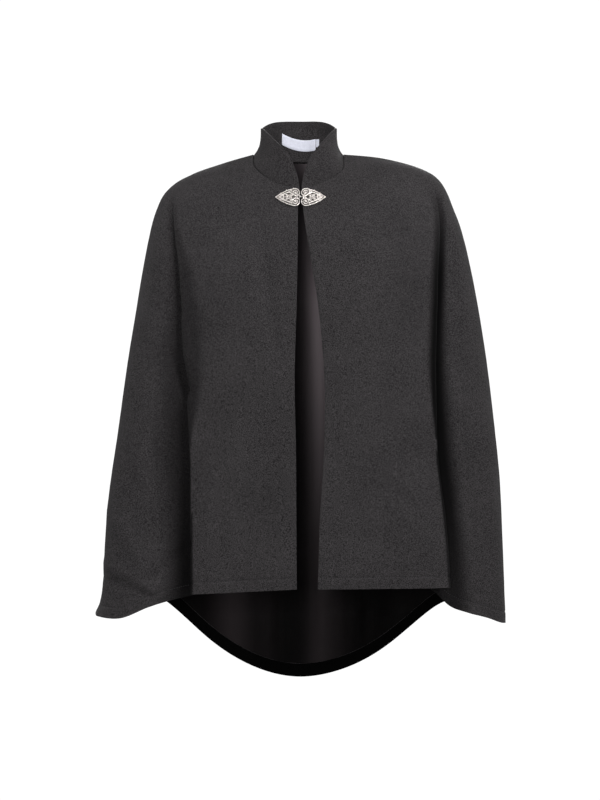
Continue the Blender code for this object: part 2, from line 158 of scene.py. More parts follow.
class DeepFold(NamedTuple):
    """Fold between a front and its arm part.

    tuck is how far its crease lies back under the front layer, hem_edge and hem_crease are the shares of
    the fall from the front hem to the tip that are reached there, and hem_fall is the rest of that fall
    at even steps from the crease to the side seam.
    """

    tuck: float
    hem_edge: float
    hem_crease: float
    hem_fall: tuple[float, ...]


class SoftFold(NamedTuple):
    """Fold that runs down a panel, turn and width in degrees, start and full in sections, rise outwards."""

    panel: Panel
    side: Side
    turn: float
    width: float
    start: float
    full: float
    rise: float


SOFT_FOLDS = (
    SoftFold(Panel.FRONT, Side.RIGHT, 68, 14, 1.6, 0, 3),
    SoftFold(Panel.FRONT, Side.LEFT, 62, 14, 1.6, 0, 6),
    SoftFold(Panel.FRONT, Side.RIGHT, 15, 6, 5, 8, -3),
    SoftFold(Panel.FRONT, Side.RIGHT, 64, 10, 3, 7, 9),
    SoftFold(Panel.FRONT, Side.LEFT, 24, 7, 5, 8, -4),
    SoftFold(Panel.FRONT, Side.LEFT, 70, 9, 3, 7, 8),
    SoftFold(Panel.BACK, Side.RIGHT, 66, 8, 3.5, 7, -20),
    SoftFold(Panel.BACK, Side.RIGHT, 50, 9, 3.5, 8, 12),
    SoftFold(Panel.BACK, Side.RIGHT, 32, 7, 5, 9, -11),
    SoftFold(Panel.BACK, Side.RIGHT, 14, 8, 5, 9, 6),
    SoftFold(Panel.BACK, Side.LEFT, 69, 8, 3.5, 7, -17),
    SoftFold(Panel.BACK, Side.LEFT, 54, 8, 3.5, 8, 11),
    SoftFold(Panel.BACK, Side.LEFT, 29, 8, 5, 9, -13),
    SoftFold(Panel.BACK, Side.LEFT, 9, 7, 5, 9, 5),
)


class FoldShadow(NamedTuple):
    """Painted shade in a deep fold, at each section.

    depth is how dark it is at its line, the reaches are its width in millimetres on the front layer and
    on the arm part, and shift is how far the line lies outside the front layer's edge.
    """

    depth: tuple[float, ...]
    front_reach: tuple[float, ...]
    arm_reach: tuple[float, ...]
    shift: tuple[float, ...]


# painted shade of each front's deep fold, darkening the wool's colour near its line
FOLD_SHADOWS = {
    Side.RIGHT: FoldShadow((0, 0, 0, 0, 0.35, 0.40, 0.50, 0.66, 0.76, 0.86, 0.82),
                           (9, 9, 9, 9, 14, 30, 34, 0, 0, 0, 0),
                           (9, 9, 9, 9, 12, 30, 58, 70, 60, 56, 68),
                           (0, 0, 0, 0, 3, -1, -1, 0, 0, 0, 0)),
    Side.LEFT: FoldShadow((0, 0, 0, 0.1, 0.60, 0.94, 0.97, 0.97, 0.92, 0.80, 0.74),
                          (9, 9, 9, 9, 15, 20, 14, 0, 0, 0, 0),
                          (8, 8, 8, 8, 11, 15, 26, 38, 40, 46, 46),
                          (0, 0, 0, 0, 4, 5, 1, 0, 0, 0, 0)),
}
FOLD_SHADOW_CORE = 0.28


@lru_cache(maxsize=None)
def section_at(place: float) -> Section:
    """Returns the section at a place counted in sections, smooth from one to the next."""
    return Section(*(through(column, place) for column in zip(*SECTIONS.values())))


@dataclass(frozen=True)
class GarmentForm:
    """The garment's surface, the inner face of every panel, worked out from its sections and folds."""

    seam_gap: float = 0.00004
    fold_depth: float = 0.042
    fold_open_turn: float = math.radians(3.0)
    fold_rounding: float = 0.020
    fold_return_top: float = 0.30
    fold_return_hem: float = 0.55
    fold_top: float = 4
    back_hem_rise_share: float = 0.78
    back_hem_bend: float = 5
    back_corner_droop: float = 22
    back_corner_start: float = 0.82
    back_corner_top: float = 7
    back_corner_full: float = 9.3
    neck_dip_bend: float = 1.0
    slope_section: float = 2
    fold_lines: dict[tuple[Side, float], float] = field(default_factory=dict)
    deep_folds: dict[Side, DeepFold] = field(default_factory=lambda: {
        Side.RIGHT: DeepFold(12, 0.18, 0.22, (0, 0.2, 0.55, 1.02, 1)),
        Side.LEFT: DeepFold(12, 0.0, 0.10, (0, 0.46, 0.66, 0.81, 1))})

    @staticmethod
    def quarter(width: float, depth: float, roundness: float, turn: float) -> tuple[Vector, Vector]:
        """Reads a quarter outline.

        Args:
            width: Half width at the side.
            depth: Depth at the centre line.
            roundness: 2 for an ellipse, more for a squarer line.
            turn: 0 on the centre line, a quarter turn at the side.

        Returns:
            The plan point, and the outward direction there.
        """
        across, along = math.sin(turn), max(math.cos(turn), 0.0)
        reach = (across**roundness + along**roundness) ** (1 / roundness)
        outward = Vector((across ** (roundness - 1) / width, along ** (roundness - 1) / depth))
        return Vector((width * across / reach, depth * along / reach)), outward.normalized()

    @staticmethod
    def turn_at(width: float, roundness: float, across: float) -> float:
        """Returns the turn at which a quarter outline lies this far from the centre line."""
        share = across / width
        return math.atan2(share, (1 - share**roundness) ** (1 / roundness))

    @staticmethod
    def soft_rise(panel: Panel, side: Side, turn: float, place: float) -> float:
        """Returns the outward shift of the soft folds at one point of a panel."""
        rise = 0.0
        for fold in SOFT_FOLDS:
            if (fold.panel, fold.side) == (panel, side):
                off = (math.degrees(turn) - fold.turn) / fold.width
                formed = smooth_step((place - fold.start) / (fold.full - fold.start))
                rise += fold.rise * formed * math.exp(-off * off)
        return rise

    def outline(self, row: Section, side: Side, panel: Panel, turn: float,
                place: float) -> tuple[Vector, Vector]:
        """Returns the plan point of a panel without its deep fold, and its outward direction."""
        width = row.side_r if side is Side.RIGHT else row.side_l
        depth = row.front_y if panel is Panel.FRONT else row.back_y
        point, outward = self.quarter(width, depth, row.roundness, turn)
        return point + outward * self.soft_rise(panel, side, turn, place), outward

    def front_slope(self, turn: float, place: float) -> float:
        """Returns how much of a front's slope is climbed at this turn: 0 in front, 1 at the side."""
        neck_dip = (1 - math.cos(turn)) ** self.neck_dip_bend
        return blend(neck_dip, math.sin(turn) ** 2, smooth_step(place / self.slope_section))

    def front_point(self, side: Side, u: float, place: float) -> Vector:
        """Reads the inner face of a front.

        Args:
            side: Which front.
            u: 0 to 1 is the front layer, 1 to 2 the turn of the deep fold, 2 to 3 the arm part.
            place: Down the cloth, counted in sections.

        Returns:
            The point in the object's frame.
        """
        row = section_at(place)
        fold = self.deep_folds[side]
        width, side_z, opening, edge, drop = (
            (row.side_r, row.side_z_r, row.opening_r, row.edge_r, row.drop_r) if side is Side.RIGHT
            else (row.side_l, row.side_z_l, row.opening_l, row.edge_l, row.drop_l))
        turn_open = self.turn_at(width, row.roundness, opening)
        turn_edge = self.turn_at(width, row.roundness, edge)
        turn_crease = turn_edge + self.fold_open_turn
        at_edge, edge_out = self.outline(row, side, Panel.FRONT, turn_edge, place)
        plain_crease, crease_out = self.outline(row, side, Panel.FRONT, turn_crease, place)
        edge_along = Vector((edge_out.y, -edge_out.x))
        crease_along = Vector((crease_out.y, -crease_out.x))
        folded = at_edge - edge_out * (self.fold_depth / MM) - edge_along * fold.tuck
        at_crease = plain_crease.lerp(folded, drop)
        if u <= 1:
            turn = blend(turn_open, turn_edge, u)
            point = self.outline(row, side, Panel.FRONT, turn, place)[0]
            slope_share, hem_share = self.front_slope(turn, place), fold.hem_edge * u
        elif u <= 2:
            share = u - 1
            pull = blend((at_crease - at_edge).length, self.fold_rounding / MM, drop)
            point = (at_edge * (1 - share) ** 2 * (1 + 2 * share) + at_crease * share**2 * (3 - 2 * share)
                     + edge_along * pull * share * (1 - share) ** 2
                     - crease_along * pull * share**2 * (1 - share))
            slope_share = self.front_slope(blend(turn_edge, turn_crease, share), place)
            hem_share = blend(fold.hem_edge, fold.hem_crease, share)
        else:
            share = u - 2
            turn = blend(turn_crease, QUARTER_TURN, share)
            point = self.outline(row, side, Panel.FRONT, turn, place)[0]
            folded_down = smooth_step((place - self.fold_top) / (LAST - self.fold_top))
            returned = min(share / blend(self.fold_return_top, self.fold_return_hem, folded_down), 1)
            point = point + (at_crease - plain_crease) * (1 - returned) ** 2
            seam_x = self.outline(row, side, Panel.FRONT, QUARTER_TURN, place)[0].x
            across = min(max((point.x - at_crease.x) / (seam_x - at_crease.x), 0), 1)
            fall = through(fold.hem_fall, across * (len(fold.hem_fall) - 1))
            slope_share, hem_share = self.front_slope(turn, place), blend(fold.hem_crease, 1, fall)
        level = min(max(row.level, 0), 1)
        z = blend(row.front_z, side_z, blend(slope_share, hem_share, level))
        return Vector((side.value * point.x * MM, min(-point.y * MM, -self.seam_gap / 2), z * MM))

    def painted_fold_shade(self, side: Side, u: float, place: float, x: float) -> float:
        """Returns how much painted shade a front's deep fold lays on its colour.

        Args:
            side: Which front.
            u: Across the front, as in front_point.
            place: Down the cloth, counted in sections.
            x: Where the point lies across the garment.

        Returns:
            0 in the open and up to 1 where the painted shade is darkest.
        """
        if (side, place) not in self.fold_lines:
            self.fold_lines[side, place] = abs(self.front_point(side, 1, place).x)
        depth, front_reach, arm_reach, shift = (through(table, place) for table in FOLD_SHADOWS[side])
        off = (abs(x) - self.fold_lines[side, place]) / MM - shift
        reach = arm_reach if off > 0 else front_reach
        if off < 0 and (reach < 1 or u > 1):
            return max(depth, 0) if u > 1 else 0.0
        core = FOLD_SHADOW_CORE
        return max(depth, 0) * (1 - smooth_step((abs(off) / max(reach, 1) - core) / (1 - core)))

    def back_point(self, u: float, place: float) -> Vector:
        """Returns the back's inner face: u is -1 at the right seam, 0 in the middle, 1 at the left seam."""
        row = section_at(place)
        side = Side.RIGHT if u < 0 else Side.LEFT
        turn = abs(u) * QUARTER_TURN
        right = self.outline(row, Side.RIGHT, Panel.BACK, turn, place)[0]
        left = self.outline(row, Side.LEFT, Panel.BACK, turn, place)[0]
        y = blend(right.y, left.y, smooth_step(0.5 + 2 * u))
        x = side.value * (right if side is Side.RIGHT else left).x
        width, side_z = (row.side_r, row.side_z_r) if side is Side.RIGHT else (row.side_l, row.side_z_l)
        reach = self.quarter(width, row.back_y, row.roundness, turn)[0].x / width
        across = min((reach / self.back_hem_rise_share) ** 2, 1)
        bend = self.back_hem_bend
        hem_share = (bend * across - across**bend) / (bend - 1)
        corner_rows = self.back_corner_full - self.back_corner_top
        formed = smooth_step((place - self.back_corner_top) / corner_rows)
        droop = self.back_corner_droop * formed
        corner = smooth_step((reach - self.back_corner_start) / (1 - self.back_corner_start))
        slope_z = blend(row.back_z, side_z, math.sin(turn) ** 2)
        hem_z = blend(row.back_z, side_z + droop, hem_share) - droop * corner
        z = blend(slope_z, hem_z, min(max(row.level, 0), 1))
        return Vector((x * MM, max(y * MM, self.seam_gap / 2), z * MM))

    def back_cloth_point(self, u: float, place: float, hem_start: float) -> Vector:
        """Returns the back's inner face, its hem straight from hem_start down, as the hem band lies."""
        if place <= hem_start:
            return self.back_point(u, place)
        share = (place - hem_start) / (LAST - hem_start)
        return self.back_point(u, hem_start).lerp(self.back_point(u, LAST), share)


class Crease(NamedTuple):
    """Small crease on the picture plane, from end to end; its rise is below 0 in a trough."""

    x0: float
    z0: float
    x1: float
    z1: float
    width: float
    rise: float


# Creases of each sheet, in millimetres: the fronts' are read from the picture, the rest are like them.
CREASES = {
    "front_right": (
        Crease(-56, -476, -16, -474, 2.0, -1.6),
        Crease(-156, -294, -116, -288, 3.5, -1.8),
        Crease(-64, -130, -39, -292, 13, -4.0),
        Crease(-190, -330, -172, -372, 8, -5.0),
        Crease(-182, -262, -176, -318, 9, 2.5),
        Crease(-300, -648, -238, -676, 6, 5.0),
        Crease(-296, -664, -236, -690, 7, -4.4),
        Crease(-176, -612, -236, -664, 8, -6.0),
        Crease(-292, -566, -246, -640, 9, 3.2),
        Crease(-206, -300, -196, -322, 3, -1.2),
        Crease(-236, -430, -222, -600, 12, -3.6),
        Crease(-120, -500, -128, -640, 14, -2.6),
    ),
    "front_left": (
        Crease(30, -590, 66, -592, 2.4, -1.9),
        Crease(28, -634, 54, -633, 2.2, -0.8),
        Crease(154, -528, 181, -560, 8, -2.6),
        Crease(150, -138, 168, -280, 11, -3.6),
        Crease(128, -380, 120, -520, 14, -2.6),
        Crease(189, -322, 190, -344, 1.4, -0.6),
        Crease(185, -366, 186, -392, 1.4, -0.6),
        Crease(191, -412, 192, -440, 1.4, -0.6),
        Crease(262, -360, 284, -600, 12, -4.0),
        Crease(240, -560, 262, -690, 9, 2.0),
        Crease(60, -640, 190, -648, 6, -0.9),
    ),
    "back": (
        Crease(-150, -120, -60, -180, 14, -3.4),
        Crease(130, -110, 70, -190, 13, -3.8),
        Crease(-60, -330, 10, -360, 8, -2.2),
        Crease(80, -460, 150, -430, 8, -2.6),
        Crease(-190, -520, -120, -560, 7, -2.4),
        Crease(-30, -620, 50, -632, 5, -1.8),
        Crease(-250, -600, -210, -690, 8, 2.2),
        Crease(232, -590, 262, -680, 8, -2.4),
        Crease(10, -700, 90, -722, 6, -1.8),
    ),
    "back_lining": (
        Crease(-60, -752, 160, -740, 4, -1.6),
        Crease(-70, -700, -66, -800, 5, -1.8),
        Crease(78, -690, 80, -806, 5, -1.8),
        Crease(8, -120, 18, -300, 9, -3.0),
        Crease(30, -220, 34, -560, 7, -3.4),
        Crease(14, -380, 20, -830, 8, -3.6),
        Crease(48, -420, 52, -830, 9, -2.6),
        Crease(-30, -520, -34, -826, 10, -3.0),
        Crease(-140, -680, -60, -720, 8, -2.4),
        Crease(110, -640, 112, -780, 10, -2.6),
    ),
    "collar": (
        Crease(20, 20, 24, 62, 6, -0.7),
        Crease(-36, 30, -30, 62, 7, 0.6),
        Crease(38, 26, 36, 60, 5, -0.8),
    ),
}


def crease_rise(name: str, point: Vector) -> float:
    """Returns the shift in metres that a sheet's creases give one of its points."""
    rise = 0.0
    x, z = point.x / MM, point.z / MM
    for crease in CREASES.get(name, ()):
        run_x, run_z = crease.x1 - crease.x0, crease.z1 - crease.z0
        along = ((x - crease.x0) * run_x + (z - crease.z0) * run_z) / (run_x**2 + run_z**2)
        if not -0.3 < along < 1.3:
            continue
        across = abs((x - crease.x0) * run_z - (z - crease.z0) * run_x) / math.hypot(run_x, run_z)
        across /= crease.width
        if across > 3:
            continue
        ends = smooth_step((along + 0.3) / 0.45) * smooth_step((1.3 - along) / 0.45)
        rise += crease.rise * ends * math.exp(-across * across)
    return rise * MM


@dataclass(frozen=True)
class Unevenness:
    """The slight waves of hanging cloth, in metres."""

    slow_rise: float = 0.0014
    slow_length: float = 0.11
    quick_rise: float = 0.00022
    quick_length: float = 0.017

    def rise(self, point: Vector) -> float:
        """Returns the outward shift at a point."""
        slow = noise.noise(point / self.slow_length)
        quick = noise.noise(point / self.quick_length)
        return self.slow_rise * slow + self.quick_rise * quick


@dataclass(frozen=True)
class Hem:
    """A turned hem with its line of stitches: how high the line runs, and the puckers that it pulls."""

    stitch_height: float = HEM_STITCH_HEIGHT["front"]
    groove: float = 0.0008
    groove_width: float = 0.0017
    pucker: float = 0.0011
    pucker_length: float = 0.013

    def rise(self, point: Vector, above_hem: float) -> float:
        """Returns the outward shift at a point this far above the hem."""
        off = (above_hem - self.stitch_height) / self.groove_width
        groove = -self.groove * math.exp(-off * off)
        near = math.exp(-((above_hem - self.stitch_height * 0.7) / self.stitch_height) ** 2)
        wave = noise.noise(Vector((point.x, point.y, 0.3 * point.z)) / self.pucker_length)
        return groove + self.pucker * near * wave


def add_input(group: bpy.types.NodeTree, name: str, value: float | None = None) -> None:
    """Adds a named input to a node group, a vector where it has no value."""
    kind = "NodeSocketVector" if value is None else "NodeSocketFloat"
    socket = group.interface.new_socket(name, in_out="INPUT", socket_type=kind)
    if value is not None:
        socket.default_value = value


class Groups:
    """Shader node groups that several finishes share."""

    @staticmethod
    def start(name: str, inputs: dict[str, float | None], outputs: Sequence[str]) -> bpy.types.NodeTree:
        """Makes an empty group.

        Args:
            name: The group's name.
            inputs: Name and default of each input, None for a vector.
            outputs: Names of the values that it puts out.

        Returns:
            The group, with its input and output nodes named "in" and "out".
        """
        group = bpy.data.node_groups.new(name, "ShaderNodeTree")
        for key, value in inputs.items():
            add_input(group, key, value)
        for key in outputs:
            group.interface.new_socket(key, in_out="OUTPUT", socket_type="NodeSocketFloat")
        group.nodes.new("NodeGroupInput").name = "in"
        group.nodes.new("NodeGroupOutput").name = "out"
        return group

    @staticmethod
    def math(tree: bpy.types.NodeTree, operation: str, a: object, b: object = 0.0) -> bpy.types.NodeSocket:
        """Adds a Math node whose operands are sockets or numbers, and returns its result."""
        node = tree.nodes.new("ShaderNodeMath")
        node.operation = operation
        for socket, operand in zip(node.inputs, (a, b)):
            if isinstance(operand, bpy.types.NodeSocket):
                tree.links.new(operand, socket)
            else:
                socket.default_value = operand
        return node.outputs[0]

    @classmethod
    def threads(cls) -> bpy.types.NodeTree:
        """Returns the twill's threads: diagonal ribs crossed by single threads, over a map in metres."""
        if "twill_threads" in bpy.data.node_groups:
            return bpy.data.node_groups["twill_threads"]
        group = cls.start("twill_threads", {"Vector": None, "Pitch": 0.001}, ("Height",))
        source, out = group.nodes["in"], group.nodes["out"]
        split = group.nodes.new("ShaderNodeSeparateXYZ")
        group.links.new(source.outputs["Vector"], split.inputs[0])
        turns = cls.math(group, "DIVIDE", math.tau, source.outputs["Pitch"])
        rib = cls.math(group, "SINE", cls.math(group, "MULTIPLY", cls.math(
            group, "ADD", split.outputs["X"], split.outputs["Y"]), turns))
        across = cls.math(group, "SINE", cls.math(group, "MULTIPLY", cls.math(
            group, "MULTIPLY", split.outputs["X"], 2.0), turns))
        mixed = cls.math(group, "ADD", cls.math(group, "MULTIPLY", rib, 0.34),
                         cls.math(group, "MULTIPLY", across, 0.16))
        group.links.new(cls.math(group, "ADD", mixed, 0.5), out.inputs["Height"])
        return group

    @classmethod
    def mottle(cls) -> bpy.types.NodeTree:
        """Returns a mask of soft patches with crisp limits: Low and High are where it starts and ends."""
        if "mottle" in bpy.data.node_groups:
            return bpy.data.node_groups["mottle"]
        inputs = {"Vector": None, "Scale": 100.0, "Detail": 3.0, "Low": 0.35, "High": 0.65}
        group = cls.start("mottle", inputs, ("Mask",))
        source, out = group.nodes["in"], group.nodes["out"]
        cloud = group.nodes.new("ShaderNodeTexNoise")
        for key in ("Vector", "Scale", "Detail"):
            group.links.new(source.outputs[key], cloud.inputs[key])
        reach = group.nodes.new("ShaderNodeMapRange")
        group.links.new(cloud.outputs["Fac"], reach.inputs["Value"])
        group.links.new(source.outputs["Low"], reach.inputs["From Min"])
        group.links.new(source.outputs["High"], reach.inputs["From Max"])
        group.links.new(reach.outputs["Result"], out.inputs["Mask"])
        return group


Colour = tuple[float, float, float]
FLECK_LIMITS = (0.35, 0.65)
PATCH_LIMITS = (0.3, 0.7)


class Shade:
    """A material being built: a Principled BSDF with helpers for what feeds it."""

    def __init__(self, name: str) -> None:
        """Makes the material, or an empty one of that name."""
        self.material = bpy.data.materials.new(name)
        self.material.use_nodes = True
        self.tree = self.material.node_tree
        self.shader = self.tree.nodes["Principled BSDF"]
        self.places = self.tree.nodes.new("ShaderNodeTexCoord")

    def group(self, group: bpy.types.NodeTree, **values: object) -> bpy.types.Node:
        """Places a node group with these sockets or numbers on its inputs."""
        node = self.tree.nodes.new("ShaderNodeGroup")
        node.node_tree = group
        for key, value in values.items():
            if isinstance(value, bpy.types.NodeSocket):
                self.tree.links.new(value, node.inputs[key])
            else:
                node.inputs[key].default_value = value
        return node

    def mask(self, scale: float, low: float, high: float, detail: float = 3.0,
             vector: bpy.types.NodeSocket | None = None) -> bpy.types.NodeSocket:
        """Returns a mottle mask on Object coordinates, or on the given vector."""
        return self.group(Groups.mottle(), Vector=vector or self.places.outputs["Object"], Scale=scale,
                          Detail=detail, Low=low, High=high).outputs["Mask"]

    def weave(self, pitch: float) -> bpy.types.NodeSocket:
        """Returns the height of threads this far apart on the sheet's map."""
        return self.group(Groups.threads(), Vector=self.places.outputs["UV"], Pitch=pitch).outputs["Height"]

    def attribute(self, name: str) -> bpy.types.NodeSocket:
        """Returns the value that the mesh carries under this name, 0 where it carries none."""
        node = self.tree.nodes.new("ShaderNodeAttribute")
        node.attribute_name = name
        return node.outputs["Fac"]

    def mix(self, share: bpy.types.NodeSocket, a: object, b: object) -> bpy.types.NodeSocket:
        """Returns a colour mixed from two colours or sockets by a mask."""
        node = self.tree.nodes.new("ShaderNodeMix")
        node.data_type = "RGBA"
        self.tree.links.new(share, node.inputs["Factor"])
        for key, value in (("A", a), ("B", b)):
            socket = next(s for s in node.inputs if s.name == key and s.type == "RGBA")
            if isinstance(value, bpy.types.NodeSocket):
                self.tree.links.new(value, socket)
            else:
                socket.default_value = (*value, 1)
        return next(s for s in node.outputs if s.type == "RGBA")

    def between(self, value: bpy.types.NodeSocket, low: float, high: float) -> bpy.types.NodeSocket:
        """Returns a mask stretched to run from low to high."""
        node = self.tree.nodes.new("ShaderNodeMapRange")
        node.inputs["To Min"].default_value = low
        node.inputs["To Max"].default_value = high
        self.tree.links.new(value, node.inputs["Value"])
        return node.outputs["Result"]

    def total(self, *parts: tuple[bpy.types.NodeSocket, float]) -> bpy.types.NodeSocket:
        """Returns the sum of sockets, each times its weight."""
        total: object = 0.0
        for socket, weight in parts:
            total = Groups.math(self.tree, "ADD", Groups.math(self.tree, "MULTIPLY", socket, weight), total)
        return total

    def feed(self, key: str, value: object) -> None:
        """Sets or links one input of the shader."""
        if isinstance(value, bpy.types.NodeSocket):
            self.tree.links.new(value, self.shader.inputs[key])
        elif isinstance(value, tuple):
            self.shader.inputs[key].default_value = (*value, 1)
        else:
            self.shader.inputs[key].default_value = value

    def bump(self, height: bpy.types.NodeSocket, distance: float, strength: float) -> None:
        """Feeds the shader's normal from a height."""
        node = self.tree.nodes.new("ShaderNodeBump")
        node.inputs["Distance"].default_value = distance
        node.inputs["Strength"].default_value = strength
        self.tree.links.new(height, node.inputs["Height"])
        self.tree.links.new(node.outputs["Normal"], self.shader.inputs["Normal"])


@dataclass(frozen=True)
class WoolFinish:
    """Matte charcoal coating: a fine twill with flecks of lighter and darker fibre, with painted shade in
    the deep folds.
    """

    name: str = "charcoal_wool"
    dark: Colour = (0.0008, 0.0008, 0.0008)
    light: Colour = (0.0545, 0.0508, 0.0524)
    # near-black colour that the painted shade of the deep folds pulls the wool towards
    folded: Colour = (0.0003, 0.0003, 0.0003)
    fleck_scale: float = 980.0
    fibre_scale: float = 2100.0
    fleck_limits: tuple[float, float] = (0.43, 0.57)
    patch_scale: float = 14.0
    patch_limits: tuple[float, float] = (0.25, 0.75)
    thread_pitch: float = 0.0011
    roughness: tuple[float, float] = (0.88, 0.98)
    specular: float = 0.06
    sheen: float = 0.01
    sheen_roughness: float = 0.5
    sheen_tint: Colour = (0.75, 0.73, 0.74)
    tone_weights: tuple[float, ...] = (0.54, 0.22, 0.12, 0.12)
    height_weights: tuple[float, float] = (0.6, 0.5)
    bump: tuple[float, float] = (0.00025, 0.6)

    def material(self) -> bpy.types.Material:
        """Returns the finish as a material."""
        shade = Shade(self.name)
        flecks = shade.mask(self.fleck_scale, *self.fleck_limits, 0.0)
        fibres = shade.mask(self.fibre_scale, *self.fleck_limits, 0.0)
        patches = shade.mask(self.patch_scale, *self.patch_limits)
        threads = shade.weave(self.thread_pitch)
        tone = shade.total(*zip((flecks, fibres, patches, threads), self.tone_weights))
        lit = shade.mix(tone, self.dark, self.light)
        # painted shade: the mesh's fold value darkens the colour inside the deep folds
        shade.feed("Base Color", shade.mix(shade.attribute(PAINTED_FOLD_SHADE), lit, self.folded))
        shade.feed("Roughness", shade.between(flecks, *self.roughness))
        shade.feed("Specular IOR Level", self.specular)
        shade.feed("Sheen Weight", self.sheen)
        shade.feed("Sheen Roughness", self.sheen_roughness)
        shade.feed("Sheen Tint", self.sheen_tint)
        shade.bump(shade.total(*zip((threads, flecks), self.height_weights)), *self.bump)
        return shade.material


@dataclass(frozen=True)
class SatinFinish:
    """Near-black purple satin with painted sheen in upright stripes, and painted light that makes it paler
    behind the chest than at the hem.

    Each stripe of painted sheen has its middle and its width across the garment, in metres, and its
    strength.
    """

    name: str = "lining_satin"
    dark: Colour = (0.0005, 0.0004, 0.0004)
    light: Colour = (0.0225, 0.0186, 0.0196)
    # paler pair: painted light, lighter towards the top behind the chest
    painted_light_dark: Colour = (0.020, 0.0165, 0.018)
    painted_light_bright: Colour = (0.26, 0.222, 0.236)
    painted_sheen_bands: tuple[tuple[float, float, float], ...] = ((0.032, 0.020, 1.0), (-0.114, 0.030, 0.85),
                                                     (-0.055, 0.018, 0.25), (0.062, 0.018, 0.30))
    painted_light_low: float = -0.80
    painted_light_high: float = -0.22
    painted_light_bend: float = 2.5
    painted_sheen_share: float = 0.85
    streak_share: float = 0.05
    streak_scale: float = 160.0
    streak_limits: tuple[float, float] = (0.25, 0.75)
    streak_stretch: tuple[float, float, float] = (1, 0, 0.05)
    thread_pitch: float = 0.0005
    roughness: tuple[float, float] = (0.40, 0.52)
    specular: float = 0.02
    bump: tuple[float, float] = (0.00006, 0.5)

    def material(self) -> bpy.types.Material:
        """Returns the finish as a material."""
        shade = Shade(self.name)
        split = shade.tree.nodes.new("ShaderNodeSeparateXYZ")
        shade.tree.links.new(shade.places.outputs["Object"], split.inputs[0])
        stretch = shade.tree.nodes.new("ShaderNodeVectorMath")
        stretch.operation = "MULTIPLY"
        stretch.inputs[1].default_value = self.streak_stretch
        shade.tree.links.new(shade.places.outputs["Object"], stretch.inputs[0])
        streaks = shade.mask(self.streak_scale, *self.streak_limits, 2.0, stretch.outputs["Vector"])
        # painted sheen: bright upright stripes drawn into the colour, with a little streak tone
        painted_sheen = shade.total((self._painted_sheen_bands(shade, split.outputs["X"]), self.painted_sheen_share),
                              (streaks, self.streak_share))
        threads = shade.weave(self.thread_pitch)
        # painted light: the colour is paler towards the top, behind the chest
        painted_light = self._painted_light(shade, split.outputs["Z"])
        shade.feed("Base Color", shade.mix(painted_sheen, shade.mix(painted_light, self.dark, self.painted_light_dark),
                                           shade.mix(painted_light, self.light, self.painted_light_bright)))
        shade.feed("Roughness", shade.between(streaks, *self.roughness))
        shade.feed("Specular IOR Level", self.specular)
        shade.bump(threads, *self.bump)
        return shade.material

    def _painted_sheen_bands(self, shade: Shade, across: bpy.types.NodeSocket) -> bpy.types.NodeSocket:
        """Returns the sum of the upright stripes of painted sheen, each a soft bell across the garment."""
        tree = shade.tree
        total: object = 0.0
        for middle, width, strength in self.painted_sheen_bands:
            off = Groups.math(tree, "DIVIDE", Groups.math(tree, "SUBTRACT", across, middle), width)
            falloff = Groups.math(tree, "MULTIPLY", Groups.math(tree, "MULTIPLY", off, off), -1.0)
            bell = Groups.math(tree, "EXPONENT", falloff)
            total = Groups.math(tree, "ADD", Groups.math(tree, "MULTIPLY", bell, strength), total)
        return total

    def _painted_light(self, shade: Shade, height: bpy.types.NodeSocket) -> bpy.types.NodeSocket:
        """Returns the mask of painted light, paler behind the chest and dying away down to the hem."""
        reach = shade.tree.nodes.new("ShaderNodeMapRange")
        reach.inputs["From Min"].default_value = self.painted_light_low
        reach.inputs["From Max"].default_value = self.painted_light_high
        shade.tree.links.new(height, reach.inputs["Value"])
        return Groups.math(shade.tree, "POWER", reach.outputs["Result"], self.painted_light_bend)


@dataclass(frozen=True)
class TapeFinish:
    """White woven tape with fine ribs."""

    name: str = "white_woven_tape"
    dark: Colour = (0.48, 0.49, 0.57)
    light: Colour = (0.65, 0.66, 0.74)
    patch_scale: float = 260.0
    thread_pitch: float = 0.0006
    roughness: tuple[float, float] = (0.55, 0.75)
    bump: tuple[float, float] = (0.0001, 0.6)

    def material(self) -> bpy.types.Material:
        """Returns the finish as a material."""
        shade = Shade(self.name)
        threads = shade.weave(self.thread_pitch)
        patches = shade.mask(self.patch_scale, *PATCH_LIMITS)
        tone = shade.total((threads, 0.5), (patches, 0.5))
        shade.feed("Base Color", shade.mix(tone, self.dark, self.light))
        shade.feed("Roughness", shade.between(patches, *self.roughness))
        shade.bump(threads, *self.bump)
        return shade.material


@dataclass(frozen=True)
class BandFinish:
    """Cloth of the hem turned up inside the back, coloured near-black, far darker than the wool: painted
    shade.
    """

    name: str = "hem_band_painted_shade"
    # near-black colour of the turned-up hem: painted shade
    dark: Colour = (0.0004, 0.0004, 0.0004)
    light: Colour = (0.0012, 0.0012, 0.0012)
    fleck_scale: float = 700.0
    thread_pitch: float = 0.0011
    roughness: tuple[float, float] = (0.8, 0.95)
    specular: float = 0.02
    bump: tuple[float, float] = (0.0002, 0.5)

    def material(self) -> bpy.types.Material:
        """Returns the finish as a material."""
        shade = Shade(self.name)
        flecks = shade.mask(self.fleck_scale, *FLECK_LIMITS)
        threads = shade.weave(self.thread_pitch)
        shade.feed("Base Color", shade.mix(flecks, self.dark, self.light))
        shade.feed("Roughness", shade.between(flecks, *self.roughness))
        shade.feed("Specular IOR Level", self.specular)
        shade.bump(threads, *self.bump)
        return shade.material


@dataclass(frozen=True)
class ThreadFinish:
    """Sewing thread, a tone under the cloth."""

    name: str
    dark: Colour
    light: Colour
    fleck_scale: float = 2400.0
    roughness: tuple[float, float] = (0.6, 0.8)
    bump: tuple[float, float] = (0.00008, 0.5)

    def material(self) -> bpy.types.Material:
        """Returns the finish as a material."""
        shade = Shade(self.name)
        flecks = shade.mask(self.fleck_scale, *FLECK_LIMITS)
        shade.feed("Base Color", shade.mix(flecks, self.dark, self.light))
        shade.feed("Roughness", shade.between(flecks, *self.roughness))
        shade.bump(flecks, *self.bump)
        return shade.material


